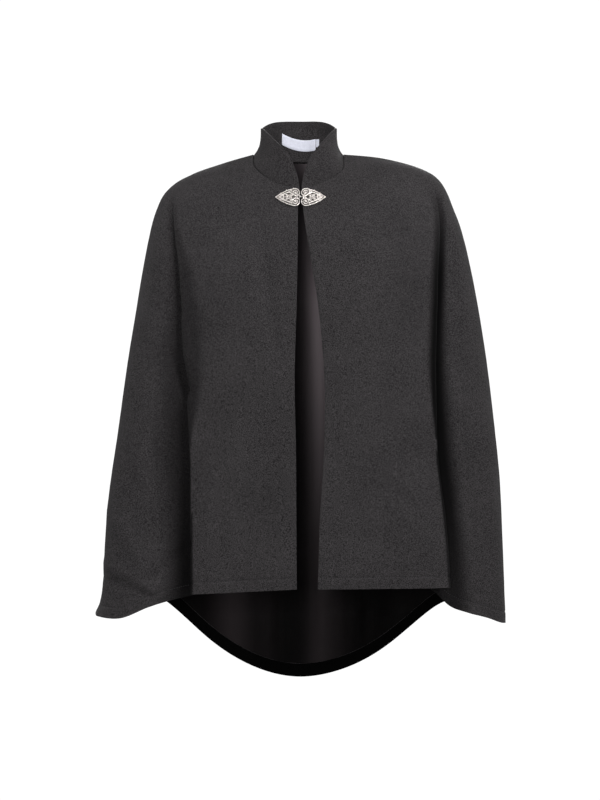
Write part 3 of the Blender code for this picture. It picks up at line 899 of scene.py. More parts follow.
@dataclass(frozen=True)
class SilverFinish:
    """Old silver, bright where it stands proud and tarnished in the hollows."""

    name: str
    dark: Colour = (0.09, 0.078, 0.07)
    light: Colour = (0.80, 0.75, 0.71)
    tarnish_limits: tuple[float, float] = (0.2, 0.55)
    tarnish_scale: float = 420.0
    grain_scale: float = 1500.0
    metallic: tuple[float, float] = (0.80, 0.55)
    roughness: tuple[float, float] = (0.55, 0.24)
    bump: tuple[float, float] = (0.00012, 0.5)

    def material(self) -> bpy.types.Material:
        """Returns the finish as a material."""
        shade = Shade(self.name)
        worn = shade.mask(self.tarnish_scale, *self.tarnish_limits, 4.0)
        grain = shade.mask(self.grain_scale, *PATCH_LIMITS, 2.0)
        shade.feed("Base Color", shade.mix(worn, self.dark, self.light))
        shade.feed("Metallic", shade.between(worn, *self.metallic))
        shade.feed("Roughness", shade.between(worn, *self.roughness))
        shade.bump(grain, *self.bump)
        return shade.material


class Wardrobe:
    """Every finish of the cape, each made once."""

    def __init__(self) -> None:
        """Makes the materials."""
        self.wool = WoolFinish().material()
        # the collar is a copy of the same wool, a little darker overall: painted shade
        self.collar_wool_painted_shade = WoolFinish(name="collar_wool_painted_shade", dark=(0.0018, 0.0017, 0.0018),
                                      light=(0.0500, 0.0464, 0.0479)).material()
        self.satin = SatinFinish().material()
        self.band = BandFinish().material()
        self.tape = TapeFinish().material()
        self.thread = ThreadFinish("charcoal_thread", (0.010, 0.0095, 0.0098),
                                   (0.024, 0.0225, 0.023)).material()
        self.white_thread = ThreadFinish("white_thread", (0.55, 0.56, 0.62), (0.80, 0.81, 0.86)).material()
        self.silver = SilverFinish("old_silver").material()
        self.tarnished = SilverFinish("tarnished_silver", (0.012, 0.011, 0.010), (0.13, 0.115, 0.105),
                                      (0.3, 0.9)).material()


def finished_mesh(name: str, source: bmesh.types.BMesh) -> bpy.types.Mesh:
    """Turns what was built into a mesh of this name, and frees it."""
    mesh = bpy.data.meshes.new(name)
    source.to_mesh(mesh)
    source.free()
    return mesh


def new_object(name: str, mesh: bpy.types.Mesh, material: bpy.types.Material,
               slot: str) -> bpy.types.Object:
    """Adds a finished piece to the scene, riding on the cape's one body.

    Args:
        name: The piece's name.
        mesh: Its mesh, in place.
        material: Its finish.
        slot: The record's material slot, not used.

    Returns:
        The new object.
    """
    mesh.materials.append(material)
    mesh.shade_smooth()
    obj = bpy.data.objects.new(name, mesh)
    bpy.context.scene.collection.objects.link(obj)
    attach(obj, BODY)
    return obj


def face_tree(obj: bpy.types.Object) -> BVHTree:
    """Returns the faces of an object with its modifiers, for finding points on it."""
    bpy.context.view_layer.update()
    return BVHTree.FromObject(obj, bpy.context.evaluated_depsgraph_get())


def front_face_y(faces: BVHTree, x: float, z: float) -> float:
    """Returns where a line from the front first meets these faces."""
    hit = faces.ray_cast(Vector((x, -1, z)), -FRONTWARDS)[0]
    if hit is None:
        raise ValueError(f"no cloth at x {x:.4f}, z {z:.4f}")
    return hit.y


@dataclass
class ClothSheet:
    """A sheet of cloth: a grid over the garment's surface, its detail, and its wall."""

    name: str
    node: str
    slot: str
    columns: Sequence[float]
    rows: Sequence[float]
    point_at: Callable[[float, float], Vector]
    wall: float
    wall_outwards: bool
    flat: tuple[float, float]
    hem: Hem | None = None
    detail_outwards: bool = True
    edge_rounding: float = 0.0006
    unevenness: Unevenness | None = field(default_factory=Unevenness)
    area: float | None = None
    # gives each point the painted shade of its deep fold
    shade_at: Callable[[float, float, float], float] | None = None
    held_columns: int = 5
    held_rows: int = 6

    def build(self, material: bpy.types.Material) -> bpy.types.Object:
        """Builds the sheet in place of its solid.

        Args:
            material: Its finish.

        Returns:
            The sheet.
        """
        columns, rows = len(self.columns), len(self.rows)
        cloth = bmesh.new()
        bmesh.ops.create_grid(cloth, x_segments=columns - 1, y_segments=rows - 1, size=0.5, calc_uvs=True)
        # each point carries the painted shade that its deep fold lays on the colour
        shade = cloth.verts.layers.float.new(PAINTED_FOLD_SHADE)
        cells = {}
        for vertex in cloth.verts:
            column = round((vertex.co.x + 0.5) * (columns - 1))
            row = round((vertex.co.y + 0.5) * (rows - 1))
            vertex.co = self.point_at(self.columns[column], self.rows[row])
            cells[vertex] = (column, row)
            if self.shade_at:
                vertex[shade] = self.shade_at(self.columns[column], self.rows[row], vertex.co.x)
        cloth.normal_update()
        turned = sum(face.normal.dot(self._outward(face.calc_center_median())) for face in cloth.faces)
        if turned < 0:
            bmesh.ops.reverse_faces(cloth, faces=cloth.faces)
            cloth.normal_update()
        self._lay_out_map(cloth, cells)
        self._add_detail(cloth, cells)
        mesh = finished_mesh(self.name, cloth)
        sheet = new_object(self.name, mesh, material, self.slot)
        wall = sheet.modifiers.new("wall", "SOLIDIFY")
        wall.thickness = self.wall
        wall.offset = 1 if self.wall_outwards else -1
        rounding = sheet.modifiers.new("rounded edges", "BEVEL")
        rounding.limit_method = "ANGLE"
        rounding.angle_limit = math.radians(60)
        rounding.width = self.edge_rounding
        rounding.segments = 2
        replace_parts(sheet, self.node)
        LOG.info("%s: %d columns, %d rows", self.name, columns, rows)
        return sheet

    def _outward(self, centre: Vector) -> Vector:
        """Returns the direction away from the garment's hollow."""
        return Vector((centre.x, centre.y, 0))

    def _lay_out_map(self, cloth: bmesh.types.BMesh, cells: dict) -> None:
        """Gives the sheet a map in metres of cloth, measured along its middle row and column."""
        places = {cell: vertex.co.copy() for vertex, cell in cells.items()}
        middle_row, middle_column = len(self.rows) // 2, len(self.columns) // 2
        across, down = [0.0], [0.0]
        for column in range(1, len(self.columns)):
            across.append(across[-1] + (places[column, middle_row] - places[column - 1, middle_row]).length)
        for row in range(1, len(self.rows)):
            down.append(down[-1] + (places[middle_column, row] - places[middle_column, row - 1]).length)
        layer = cloth.loops.layers.uv.verify()
        for face in cloth.faces:
            for loop in face.loops:
                column, row = cells[loop.vert]
                loop[layer].uv = (across[column], down[row])

    def _add_detail(self, cloth: bmesh.types.BMesh, cells: dict) -> None:
        """Moves the points by the sheet's waves, creases and hem."""
        places = {cell: vertex.co.copy() for vertex, cell in cells.items()}
        last_row = len(self.rows) - 1
        above_hem = {}
        for column in range(len(self.columns)):
            length = 0.0
            for row in range(last_row, -1, -1):
                if row < last_row:
                    length += (places[column, row] - places[column, row + 1]).length
                above_hem[column, row] = length
        shifts = []
        for vertex, cell in cells.items():
            rise = crease_rise(self.node, vertex.co)
            if self.unevenness:
                rise += self.unevenness.rise(vertex.co)
            if self.hem:
                rise += self.hem.rise(vertex.co, above_hem[cell])
            held = self._hold(cell)
            if not self.detail_outwards:
                rise = min(rise, 0)
            shifts.append((vertex, vertex.normal * rise * held))
        for vertex, shift in shifts:
            vertex.co += shift

    def _hold(self, cell: tuple[int, int]) -> float:
        """Returns 0 at the side and top seams, where the cloth is held, and 1 a few cells away."""
        column, row = cell
        from_side = min(column, len(self.columns) - 1 - column)
        return smooth_step(from_side / self.held_columns) * smooth_step(row / self.held_rows)


# A line of points on a sheet, each with the sheet's normal there
Run = Sequence[tuple[Vector, Vector]]


@dataclass
class StitchRun:
    """A line of stitches on a sheet."""

    name: str
    slot: str
    length: float = 0.0024
    step: float = 0.0036
    radius: float = 0.00028

    def build(self, runs: Sequence[Run], material: bpy.types.Material) -> bpy.types.Object:
        """Builds one joined mesh of stitches.

        Args:
            runs: For each line, its points on the cloth with the cloth's normal at each.
            material: The thread's finish.

        Returns:
            The stitches.
        """
        thread = bmesh.new()
        count = 0
        for run in runs:
            for point, normal, along in self._places(run):
                side = normal.cross(along).normalized()
                turn = Matrix((along, side, normal)).transposed().to_4x4()
                size = Matrix.Diagonal((self.length / 2, self.radius, self.radius, 1))
                where = Matrix.Translation(point + normal * self.radius * 0.35) @ turn @ size
                bmesh.ops.create_uvsphere(thread, u_segments=6, v_segments=4, radius=1, matrix=where)
                count += 1
        bmesh.ops.recalc_face_normals(thread, faces=thread.faces)
        mesh = finished_mesh(self.name, thread)
        LOG.info("%s: %d stitches", self.name, count)
        return new_object(self.name, mesh, material, self.slot)

    def _places(self, run: Run) -> list[tuple[Vector, Vector, Vector]]:
        """Returns the middle, the normal and the direction of each stitch along one line."""
        found = []
        wanted, walked = self.step / 2, 0.0
        for (a, normal_a), (b, normal_b) in zip(run, run[1:]):
            length = (b - a).length
            while length > 0 and wanted <= walked + length:
                share = (wanted - walked) / length
                normal = normal_a.lerp(normal_b, share).normalized()
                along = (b - a).normalized()
                along = (along - normal * along.dot(normal)).normalized()
                found.append((a.lerp(b, share), normal, along))
                wanted += self.step
            walked += length
        return found


def on_face(faces: BVHTree, points: Sequence[Vector], outwards: Callable[[Vector], Vector],
            reach: float = 0.012) -> Run:
    """Drops points onto a sheet's face from outside.

    Args:
        faces: The sheet's faces.
        points: Points near the face.
        outwards: The direction away from the face at each point.
        reach: How far outside the line starts.

    Returns:
        Each point on the face with the face's normal, without those that miss.
    """
    found = []
    for point in points:
        direction = outwards(point).normalized()
        hit, normal, _, _ = faces.ray_cast(point + direction * reach, -direction, reach * 2)
        if hit is not None:
            found.append((hit, normal if normal.dot(direction) > 0 else -normal))
    return found


@dataclass
class Cloth:
    """The cape's panels, lining and hem band."""

    form: GarmentForm
    finishes: Wardrobe
    wall: float = 0.0020
    lining_wall: float = 0.0010
    layer_gap: float = 0.00045
    band_wall: float = 0.0012
    band_width: float = 0.022
    row_cells: int = 120
    hem_cells: int = 26
    hem_share: float = 0.7
    stitch_columns: int = 420
    side_hold: float = 17.0
    top_hold: float = 2.0
    front_flat: tuple[float, float] = (0.45, 0.76)
    back_flat: tuple[float, float] = (0.83, 0.90)
    lining_flat: tuple[float, float] = (0.80, 0.87)
    band_flat: tuple[float, float] = (0.86, 0.023)

    def rows(self) -> list[float]:
        """Returns the rows of a panel, closer together in its hem."""
        hem_start = LAST - self.hem_share
        return steps(0, hem_start, self.row_cells) + steps(hem_start, LAST, self.hem_cells)[1:]

    def build(self) -> dict[str, bpy.types.Object]:
        """Builds every panel and returns them by node."""
        made = {}
        arm_columns = [2 + share**1.5 for share in steps(0, 1, 64)]
        front_columns = steps(0, 1, 56) + steps(1, 2, 26)[1:] + arm_columns[1:]
        for side, node in ((Side.RIGHT, "front_right"), (Side.LEFT, "front_left")):
            made[node] = ClothSheet(
                f"{node}_cloth", node, "wool", front_columns, self.rows(),
                lambda u, place, side=side: self.form.front_point(side, u, place),
                self.wall, True, self.front_flat, Hem(),
                shade_at=lambda u, place, x, side=side: self.form.painted_fold_shade(side, u, place, x)
            ).build(self.finishes.wool)
        made["back"] = ClothSheet(
            "back_cloth", "back", "wool", steps(-1, 1, 170), self.rows(),
            lambda u, place: self.form.back_cloth_point(u, place, LAST - self.hem_share),
            self.wall, True, self.back_flat, Hem(HEM_STITCH_HEIGHT["back"])).build(self.finishes.wool)
        made["back_lining"] = self._lining()
        made["back_hem_band"] = self._hem_band()
        return made

    def back_inside(self, u: float, place: float, distance: float) -> Vector:
        """Returns a point inside the back's wall, this far from its inner face."""
        step = 0.02
        face = self.form.back_point
        across = face(min(u + step, 1), place) - face(max(u - step, -1), place)
        down = face(u, min(place + step, LAST)) - face(u, max(place - step, 0))
        normal = across.cross(down).normalized()
        point = face(u, place)
        rise = crease_rise("back", point) + Unevenness().rise(point)
        held = smooth_step((1 - abs(u)) * self.side_hold) * smooth_step(place * self.top_hold)
        return point + normal * (rise * held - distance)

    def _above_hem(self, u: float, height: float, distance: float) -> Vector:
        """Returns a point this far above the back's hem, inside the wall."""
        start = self.back_inside(u, LAST, distance)
        end = self.back_inside(u, LAST - self.hem_share, distance)
        return start.lerp(end, height / (end - start).length)

    def _lining(self) -> bpy.types.Object:
        """Builds the satin on the inside of the back, from just under the neck seam to the hem band."""
        gap = self.layer_gap + 0.0006
        top, bottom = 0.18, LAST - self.hem_share

        def point_at(u: float, row: float) -> Vector:
            if row <= bottom:
                return self.back_inside(u, row, gap)
            start = self.back_inside(u, bottom, gap)
            end = self._above_hem(u, self.band_width + 0.001, gap)
            return start.lerp(end, (row - bottom) / self.hem_share)

        rows = steps(top, bottom, 118) + steps(bottom, LAST, 8)[1:]
        columns = [u * 0.9985 for u in steps(-1, 1, 150)]
        sheet = ClothSheet(
            "back_lining_satin", "back_lining", "satin", columns, rows, point_at, self.lining_wall,
            wall_outwards=False, flat=self.lining_flat, detail_outwards=False, edge_rounding=0.0003,
            unevenness=Unevenness(0.0022, 0.05, 0.0003, 0.012))
        return sheet.build(self.finishes.satin)

    def _hem_band(self) -> bpy.types.Object:
        """Builds the band turned up inside the back's hem; its near-black colour is painted shade."""
        def point_at(u: float, height: float) -> Vector:
            return self._above_hem(u, height, self.layer_gap)

        sheet = ClothSheet(
            "back_hem_band_cloth", "back_hem_band", "dark_band", steps(-1, 1, 170),
            steps(self.band_width, 0.0002, 10), point_at, self.band_wall,
            wall_outwards=False, flat=self.band_flat, detail_outwards=False, edge_rounding=0.0004,
            unevenness=None)
        return sheet.build(self.finishes.band)

    def stitch_hems(self, sheets: dict[str, bpy.types.Object]) -> None:
        """Sews the hems of the fronts and the back."""
        runs = []
        for side, node in ((Side.RIGHT, "front_right"), (Side.LEFT, "front_left")):
            faces = face_tree(sheets[node])
            stretches = (steps(0.01, 0.985, 160), steps(2.06, 2.995, 140))
            for stretch in stretches:
                points = [self._on_front(side, u, HEM_STITCH_HEIGHT["front"]) for u in stretch]
                runs.append(on_face(faces, points, lambda p, s=side: Vector((p.x * 0.6, p.y * 2, 0))))
        faces = face_tree(sheets["back"])
        points = [self._above_hem(u, HEM_STITCH_HEIGHT["back"], 0)
                  for u in steps(-0.997, 0.997, self.stitch_columns)]
        runs.append(on_face(faces, points, lambda p: Vector((p.x * 0.6, p.y * 2, 0))))
        StitchRun("hem_stitches", "wool").build(runs, self.finishes.thread)

    def _on_front(self, side: Side, u: float, height: float) -> Vector:
        """Returns a point of a front this far above its hem."""
        start = self.form.front_point(side, u, LAST)
        end = self.form.front_point(side, u, LAST - self.hem_share)
        return start.lerp(end, height / (end - start).length)


@dataclass
class Collar:
    """The standing collar with its V notch, its label and its size tab."""

    form: GarmentForm
    finishes: Wardrobe
    wall: float = 0.0030
    sink: float = 0.0015
    layer_gap: float = 0.00045
    top_width: dict[Side, float] = field(default_factory=lambda: {Side.RIGHT: 0.0635, Side.LEFT: 0.0585})
    top_front: float = 0.076
    top_back: float = 0.053
    flare: float = 3.6
    flare_start: float = 0.06
    rim_bend_z: float = 0.002
    rim_side_z: float = 0.050
    rim_back_z: float = 0.068
    notch_turn_foot: float = math.radians(1.2)
    notch_turn_rim: float = math.radians(17.0)
    notch_bend: float = 1.8
    edge_stitch: float = 0.0055

    def point_at(self, u: float, height: float) -> Vector:
        """Reads the collar's outer face.

        Args:
            u: -1 at the right front edge, 0 at the centre back, 1 at the left front edge.
            height: 0 at the foot, 1 at the rim.

        Returns:
            The point.
        """
        neck = SECTIONS["neck"]
        side = Side.RIGHT if u < 0 else Side.LEFT
        front_edge = blend(self.notch_turn_foot, self.notch_turn_rim, height**self.notch_bend)
        turn = blend(math.pi, front_edge, abs(u))
        to_side = min(turn, math.pi - turn)
        in_front = turn < QUARTER_TURN
        panel = Panel.FRONT if in_front else Panel.BACK
        foot, outward = self.form.outline(neck, side, panel, to_side, 0)
        foot = foot * MM - outward * self.layer_gap
        top_depth = self.top_front if in_front else self.top_back
        top = self.form.quarter(self.top_width[side], top_depth, neck.roundness, to_side)[0]
        side_z = neck.side_z_r if side is Side.RIGHT else neck.side_z_l
        if in_front:
            foot_z = blend(neck.front_z, side_z, self.form.front_slope(to_side, 0))
        else:
            foot_z = blend(neck.back_z, side_z, math.sin(to_side) ** 2)
        if in_front:
            share = (turn - front_edge) / (QUARTER_TURN - front_edge)
            rim_z = blend(self.rim_bend_z, self.rim_side_z, math.sin(share * QUARTER_TURN))
        else:
            rim_z = blend(self.rim_side_z, self.rim_back_z, smooth_step(math.cos(to_side)))
        risen = max(height - self.flare_start, 0) / (1 - self.flare_start)
        flare = blend(1, self.flare, math.sin(to_side) ** 4)
        plan = foot.lerp(top, 1 - (1 - risen) ** flare)
        z = blend(foot_z * MM - self.sink, rim_z, height)
        return Vector((side.value * plan.x, -plan.y if in_front else plan.y, z))

    def build(self) -> bpy.types.Object:
        """Builds the collar, its edge stitching, the label and the tab."""
        collar = ClothSheet(
            "collar_cloth", "collar", "wool", steps(-1, 1, 220), steps(0, 1, 44), self.point_at, self.wall,
            wall_outwards=False, flat=(0.39, 0.076), edge_rounding=0.0010,
            unevenness=Unevenness(0.0007, 0.04, 0.00015, 0.012)).build(self.finishes.collar_wool_painted_shade)
        faces = face_tree(collar)
        runs = []
        rim = [self._below_rim(u) for u in steps(-0.975, 0.975, 420)]
        runs.append(on_face(faces, rim, lambda p: Vector((p.x, p.y, 0))))
        for sign in (-1, 1):
            notch = [self.point_at(sign * 0.974, height) for height in steps(0.06, 0.9, 60)]
            runs.append(on_face(faces, notch, lambda p: Vector((p.x, p.y, 0))))
        StitchRun("collar_edge_stitches", "wool", 0.0022, 0.0034, 0.00020).build(runs, self.finishes.thread)
        self._tapes(faces)
        return collar

    def _below_rim(self, u: float) -> Vector:
        """Returns a point of the outer face a stitch allowance below the rim."""
        top, foot = self.point_at(u, 1), self.point_at(u, 0)
        return top.lerp(foot, self.edge_stitch / (foot - top).length)

    def _tapes(self, faces: BVHTree) -> None:
        """Builds the bare label and the size tab inside the back of the collar, with their stitches."""
        label = NeckTape("neck_label_tape", "neck_label", left_x=-0.030, right_x=0.0245, top_z=0.048,
                         height=0.018, sag=0.005, tilt=0.009, columns=60, rows=22)
        tab = NeckTape("size_tab_tape", "size_tab", left_x=0.0252, right_x=0.0302, top_z=0.0385,
                       height=0.0125, sag=0.0, tilt=0.0, columns=12, rows=18)
        runs = []
        for tape in (label, tab):
            piece = tape.build(faces, self.finishes.tape, self.layer_gap)
            tape_faces = face_tree(piece)
            for x in tape.stitch_columns():
                points = [Vector((x, -0.02, z)) for z in tape.stitch_heights(x)]
                runs.append([(hit, FRONTWARDS) for hit in (
                    tape_faces.ray_cast(point, -FRONTWARDS)[0] for point in points) if hit is not None])
        stitches = StitchRun("label_stitches", "white_tape", length=0.0014, step=0.0022, radius=0.00014)
        stitches.build(runs, self.finishes.white_thread)


@dataclass
class NeckTape:
    """A bare tape sewn inside the back of the collar, its middle sagging a little."""

    name: str
    node: str
    left_x: float
    right_x: float
    top_z: float
    height: float
    sag: float
    tilt: float
    columns: int
    rows: int
    wall: float = 0.0007

    def _z(self, x: float, down: float) -> float:
        """Returns the height of a point this far below the tape's top edge."""
        middle, half = (self.left_x + self.right_x) / 2, (self.right_x - self.left_x) / 2
        across = (x - middle) / half
        return self.top_z - down - self.sag * (1 - across**2) - self.tilt * (1 + across) / 2

    def stitch_columns(self) -> tuple[float, float]:
        """Returns the two ends where the tape is sewn down."""
        inset = 0.0012
        return self.left_x + inset, self.right_x - inset

    def stitch_heights(self, x: float) -> list[float]:
        """Returns heights down the tape at one end."""
        return [self._z(x, down) for down in steps(0.001, self.height - 0.001, 20)]

    def build(self, collar_faces: BVHTree, material: bpy.types.Material, gap: float) -> bpy.types.Object:
        """Builds the tape against the collar's inner face and returns it."""
        def point_at(x: float, down: float) -> Vector:
            hit = collar_faces.ray_cast(Vector((x, 0, self._z(x, down))), -FRONTWARDS)[0]
            edge = min(x - self.left_x, self.right_x - x, down, self.height - down)
            ripple = 0.0003 * noise.noise(Vector((x, 0, down)) / 0.006)
            lift = 0.0005 * smooth_step(edge / 0.003) + max(ripple, 0)
            return hit + FRONTWARDS * (gap + lift)

        width = self.right_x - self.left_x
        tape = ClothSheet(
            self.name, self.node, "white_tape", steps(self.left_x, self.right_x, self.columns),
            steps(0, self.height, self.rows), point_at, self.wall,
            wall_outwards=False, flat=(max(width, 0.01), self.height), edge_rounding=0.0002,
            unevenness=None, area=self.height * width)
        return tape.build(material)


@dataclass
class ClaspPlate:
    """One openwork plate: a leaf outline with two scrolled lobes, over a thin tarnished ground."""

    side: Side
    faces: BVHTree
    centre_z: float = -0.0676
    middle_gap: float = 0.0026
    length: float = 0.0365
    sample_half_height: float = 0.012
    level_x: float = 0.006
    clear: float = 0.0005
    ground_wall: float = 0.0009
    rim_radius: float = 0.00080
    scroll_radius: float = 0.00078
    bead_radius: float = 0.00090
    ground_share: float = 0.985
    ground_dome: float = 0.0006
    relief: float = 0.0009
    vein_sink: float = 0.0002
    bead_lift: float = 0.0001
    fit: np.ndarray = field(init=False)

    # Outline in millimetres: distance from the inner end, and height above the middle line
    OUTLINE = ((4.2, 0.0), (2.6, 1.9), (0.4, 5.2), (0.9, 9.4), (4.4, 12.7), (9.6, 13.0), (14.6, 11.5),
               (18.6, 10.5), (23.6, 8.3), (29.6, 5.3), (33.8, 2.4), (36.6, 0.0))
    # The side of each lobe and the size of its scroll, and where the curls start and their sizes
    LOBES = ((1, 5.0), (-1, 5.4))
    CURLS = ((13.5, 2.3), (20.0, 1.9), (25.6, 1.4))
    # Beads on the middle line and on each side of it: place, height, and size against bead_radius
    BEADS = ((6.4, 7.2, 1.5), (6.4, -7.2, 1.6), (16.4, 0.0, 1.5), (37.2, 0.0, 1.2))
    SIDE_BEADS = ((9.6, 13.9, 0.8), (20.6, 10.9, 0.85), (29.0, 6.6, 0.8),
                  (12.2, 8.6, 0.9), (16.9, 7.9, 0.8), (22.4, 6.2, 0.7))

    def __post_init__(self) -> None:
        """Fits a smooth face to the cloth under the plate."""
        samples, depths = [], []
        for along in steps(self.level_x, self.middle_gap / 2 + self.length, 8):
            for up in steps(-self.sample_half_height, self.sample_half_height, 6):
                samples.append(self._terms(along, up))
                depths.append(front_face_y(self.faces, self.side.value * along, self.centre_z + up))
        self.fit = np.linalg.lstsq(np.array(samples), np.array(depths), rcond=None)[0]
        self.lift = max(float(np.dot(terms, self.fit)) - depth for terms, depth in zip(samples, depths))

    @staticmethod
    def _terms(along: float, up: float) -> list[float]:
        """Returns the terms of a smooth face at one place."""
        return [1, along, along**2, up, up**2, along * up]

    def place(self, along: float, up: float, height: float) -> Vector:
        """Sets a point of the plate's drawing on the cloth.

        Args:
            along: Millimetres from the plate's inner end.
            up: Millimetres above its middle line.
            height: Metres above the cloth.

        Returns:
            The point.
        """
        x = self.middle_gap / 2 + along * MM
        depth = float(np.dot(self._terms(x, up * MM), self.fit)) - self.lift - self.clear
        return Vector((self.side.value * x, depth - height, self.centre_z + up * MM))

    def outline(self, points: int = 96) -> list[tuple[float, float]]:
        """Returns the closed outline as a smooth ring of points."""
        upper = list(self.OUTLINE)
        lower = [(a, -1.06 * b) for a, b in reversed(upper[1:-1])]
        ring = upper + lower
        count = len(ring)
        padded = [ring[-2], ring[-1], *ring, ring[0], ring[1]]
        found = []
        for index in range(points):
            place = 2 + index / points * count
            found.append(tuple(through([p[axis] for p in padded], place) for axis in (0, 1)))
        return found

    def ground(self, material: bpy.types.Material) -> bpy.types.Object:
        """Builds the thin plate behind the scrolls and returns it."""
        ring = self.outline()
        plate = bmesh.new()
        bmesh.ops.create_circle(plate, cap_ends=True, cap_tris=True, segments=len(ring), radius=1)
        spokes = [edge for edge in plate.edges if min(v.co.length for v in edge.verts) < 0.5]
        bmesh.ops.subdivide_edges(plate, edges=spokes, cuts=5, use_grid_fill=True)
        middle = (14.0, 0.0)
        for vertex in plate.verts:
            share = vertex.co.length
            index = round(math.atan2(vertex.co.y, vertex.co.x) / math.tau * len(ring)) % len(ring)
            along = blend(middle[0], ring[index][0], share * self.ground_share)
            up = blend(middle[1], ring[index][1], share * self.ground_share)
            dome = self.ground_dome * (1 - share**2)
            vertex.co = self.place(along, up, self.ground_wall + dome)
        plate.normal_update()
        if sum(face.normal.y for face in plate.faces) > 0:
            bmesh.ops.reverse_faces(plate, faces=plate.faces)
        name = f"clasp_ground_{self.side.name.lower()}"
        obj = new_object(name, finished_mesh(name, plate), material, "old_silver")
        wall = obj.modifiers.new("wall", "SOLIDIFY")
        wall.thickness = self.ground_wall
        wall.offset = -1
        return obj

    def scrollwork(self, material: bpy.types.Material) -> bpy.types.Object:
        """Builds the rim, the scrolls and the beads as one cast piece and returns it."""
        top = self.ground_wall + self.relief
        low = top - self.vein_sink
        wires = [self._wire(self.outline(120), low, self.rim_radius, True)]
        for sign, radius in self.LOBES:
            scroll = self._spiral((6.4, sign * 7.2), sign, radius, (-2.4, 7.2), 0.80, 44)
            wires.append(self._wire(scroll, top, self.scroll_radius))
            stem = [(blend(5.2, 33.0, s),
                     sign * (1.0 + 8.2 * math.sin(math.pi * s**0.9) ** 2 * (1 - 0.5 * s)))
                    for s in steps(0, 1, 34)]
            wires.append(self._wire(stem, top, self.scroll_radius))
            vein = [(blend(11.5, 30.5, s), sign * (blend(10.6, 3.2, s) - 0.5 * math.sin(math.pi * s)))
                    for s in steps(0, 1, 24)]
            wires.append(self._wire(vein, low, self.scroll_radius))
            for start, size in self.CURLS:
                centre = (start, sign * (3.1 - 0.05 * start + 0.2))
                curl = self._spiral(centre, sign, size, (0.4, 6.9), 0.72, 24)
                wires.append(self._wire(curl, top, self.scroll_radius * 0.85))
        name = f"clasp_scrolls_{self.side.name.lower()}"
        mesh = Metalwork.mesh(name, wires, [(self.place(a, b, top + self.bead_lift), r * self.bead_radius)
                                            for a, b, r in self._beads()])
        return new_object(name, mesh, material, "old_silver")

    def _wire(self, line: Sequence[tuple[float, float]], height: float, radius: float,
              closed: bool = False) -> tuple[list[Vector], float, bool]:
        """Returns a line of the drawing as a wire this far above the cloth."""
        return [self.place(along, up, height) for along, up in line], radius, closed

    @staticmethod
    def _spiral(centre: tuple[float, float], sign: int, size: float, turns: tuple[float, float],
                shrink: float, count: int) -> list[tuple[float, float]]:
        """Returns a line that winds in between two turns, its radius less by this share at the end."""
        found = []
        for share in steps(0, 1, count):
            turn, radius = blend(*turns, share), size * (1 - shrink * share)
            found.append((centre[0] + radius * math.cos(turn), centre[1] + sign * radius * math.sin(turn)))
        return found

    def _beads(self) -> list[tuple[float, float, float]]:
        """Returns the place and size of every bead: the rosette, the middle row, the rim and the sides."""
        beads = list(self.BEADS)
        beads += [(16.4 + 2.6 * math.cos(turn), 2.6 * math.sin(turn), 1.15)
                  for turn in steps(0.3, 0.3 + math.tau, 7)[1:]]
        beads += [(blend(21.5, 32.0, s), 0.0, blend(1.2, 0.7, s)) for s in steps(0, 1, 5)]
        beads += [(along, up, 1.0) for along, up in self.outline(120)[::4]]
        for sign in (1, -1):
            beads += [(along, sign * up, size) for along, up, size in self.SIDE_BEADS]
        return beads

    def build(self, finishes: Wardrobe) -> None:
        """Builds the plate in place of its solid."""
        node = f"clasp_plate_{self.side.name.lower()}"
        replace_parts(self.ground(finishes.tarnished), node)
        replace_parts(self.scrollwork(finishes.silver), node)
        LOG.info("%s: ground, rim, scrolls and beads", node)


class Metalwork:
    """Wires and beads of cast metal."""

    @staticmethod
    def mesh(name: str, wires: Sequence[tuple[Sequence[Vector], float, bool]],
             beads: Sequence[tuple[Vector, float]]) -> bpy.types.Mesh:
        """Makes one mesh of round wires and beads.

        Args:
            name: The mesh's name.
            wires: For each wire its middle line, its radius, and whether it is a closed ring.
            beads: For each bead its centre and its radius.

        Returns:
            The mesh.
        """
        metal = bmesh.new()
        for points, radius, closed in wires:
            Metalwork._sweep(metal, points, radius, closed)
        for centre, radius in beads:
            bmesh.ops.create_uvsphere(metal, u_segments=14, v_segments=9, radius=radius,
                                      matrix=Matrix.Translation(centre))
        bmesh.ops.recalc_face_normals(metal, faces=metal.faces)
        return finished_mesh(name, metal)

    @staticmethod
    def _sweep(metal: bmesh.types.BMesh, points: Sequence[Vector], radius: float, closed: bool,
               sides: int = 10) -> None:
        """Sweeps a circle along a line by bridging one ring to the next."""
        rings = []
        count = len(points)
        for index, point in enumerate(points):
            before = points[(index - 1) % count] if closed or index else point
            after = points[(index + 1) % count] if closed or index < count - 1 else point
            along = (after - before).normalized()
            up = FRONTWARDS - along * along.dot(FRONTWARDS)
            up = up.normalized() if up.length > 0.1 else Vector((0, 0, 1)).cross(along).normalized()
            turn = Matrix((up.cross(along), up, along)).transposed().to_4x4()
            ring = bmesh.ops.create_circle(metal, segments=sides, radius=radius,
                                           matrix=Matrix.Translation(point) @ turn)["verts"]
            rings.append([edge for edge in {e for v in ring for e in v.link_edges}])
        pairs = list(zip(rings, rings[1:])) + ([(rings[-1], rings[0])] if closed else [])
        for first, second in pairs:
            bmesh.ops.bridge_loops(metal, edges=first + second)
        if not closed:
            for ring in (rings[0], rings[-1]):
                bmesh.ops.contextual_create(metal, geom=ring)


@dataclass
class Clasp:
    """The clasp: two plates, the ring on the right one and the hook on the left one."""

    finishes: Wardrobe
    wire_radius: float = 0.0006

    def build(self, right_front: bpy.types.Object, left_front: bpy.types.Object) -> None:
        """Builds the clasp on the two fronts."""
        ClaspPlate(Side.RIGHT, face_tree(right_front)).build(self.finishes)
        ClaspPlate(Side.LEFT, face_tree(left_front)).build(self.finishes)
        for node in ("clasp_eye", "clasp_hook"):
            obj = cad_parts[node]
            obj.data.materials.clear()
            obj.data.materials.append(self.finishes.silver)


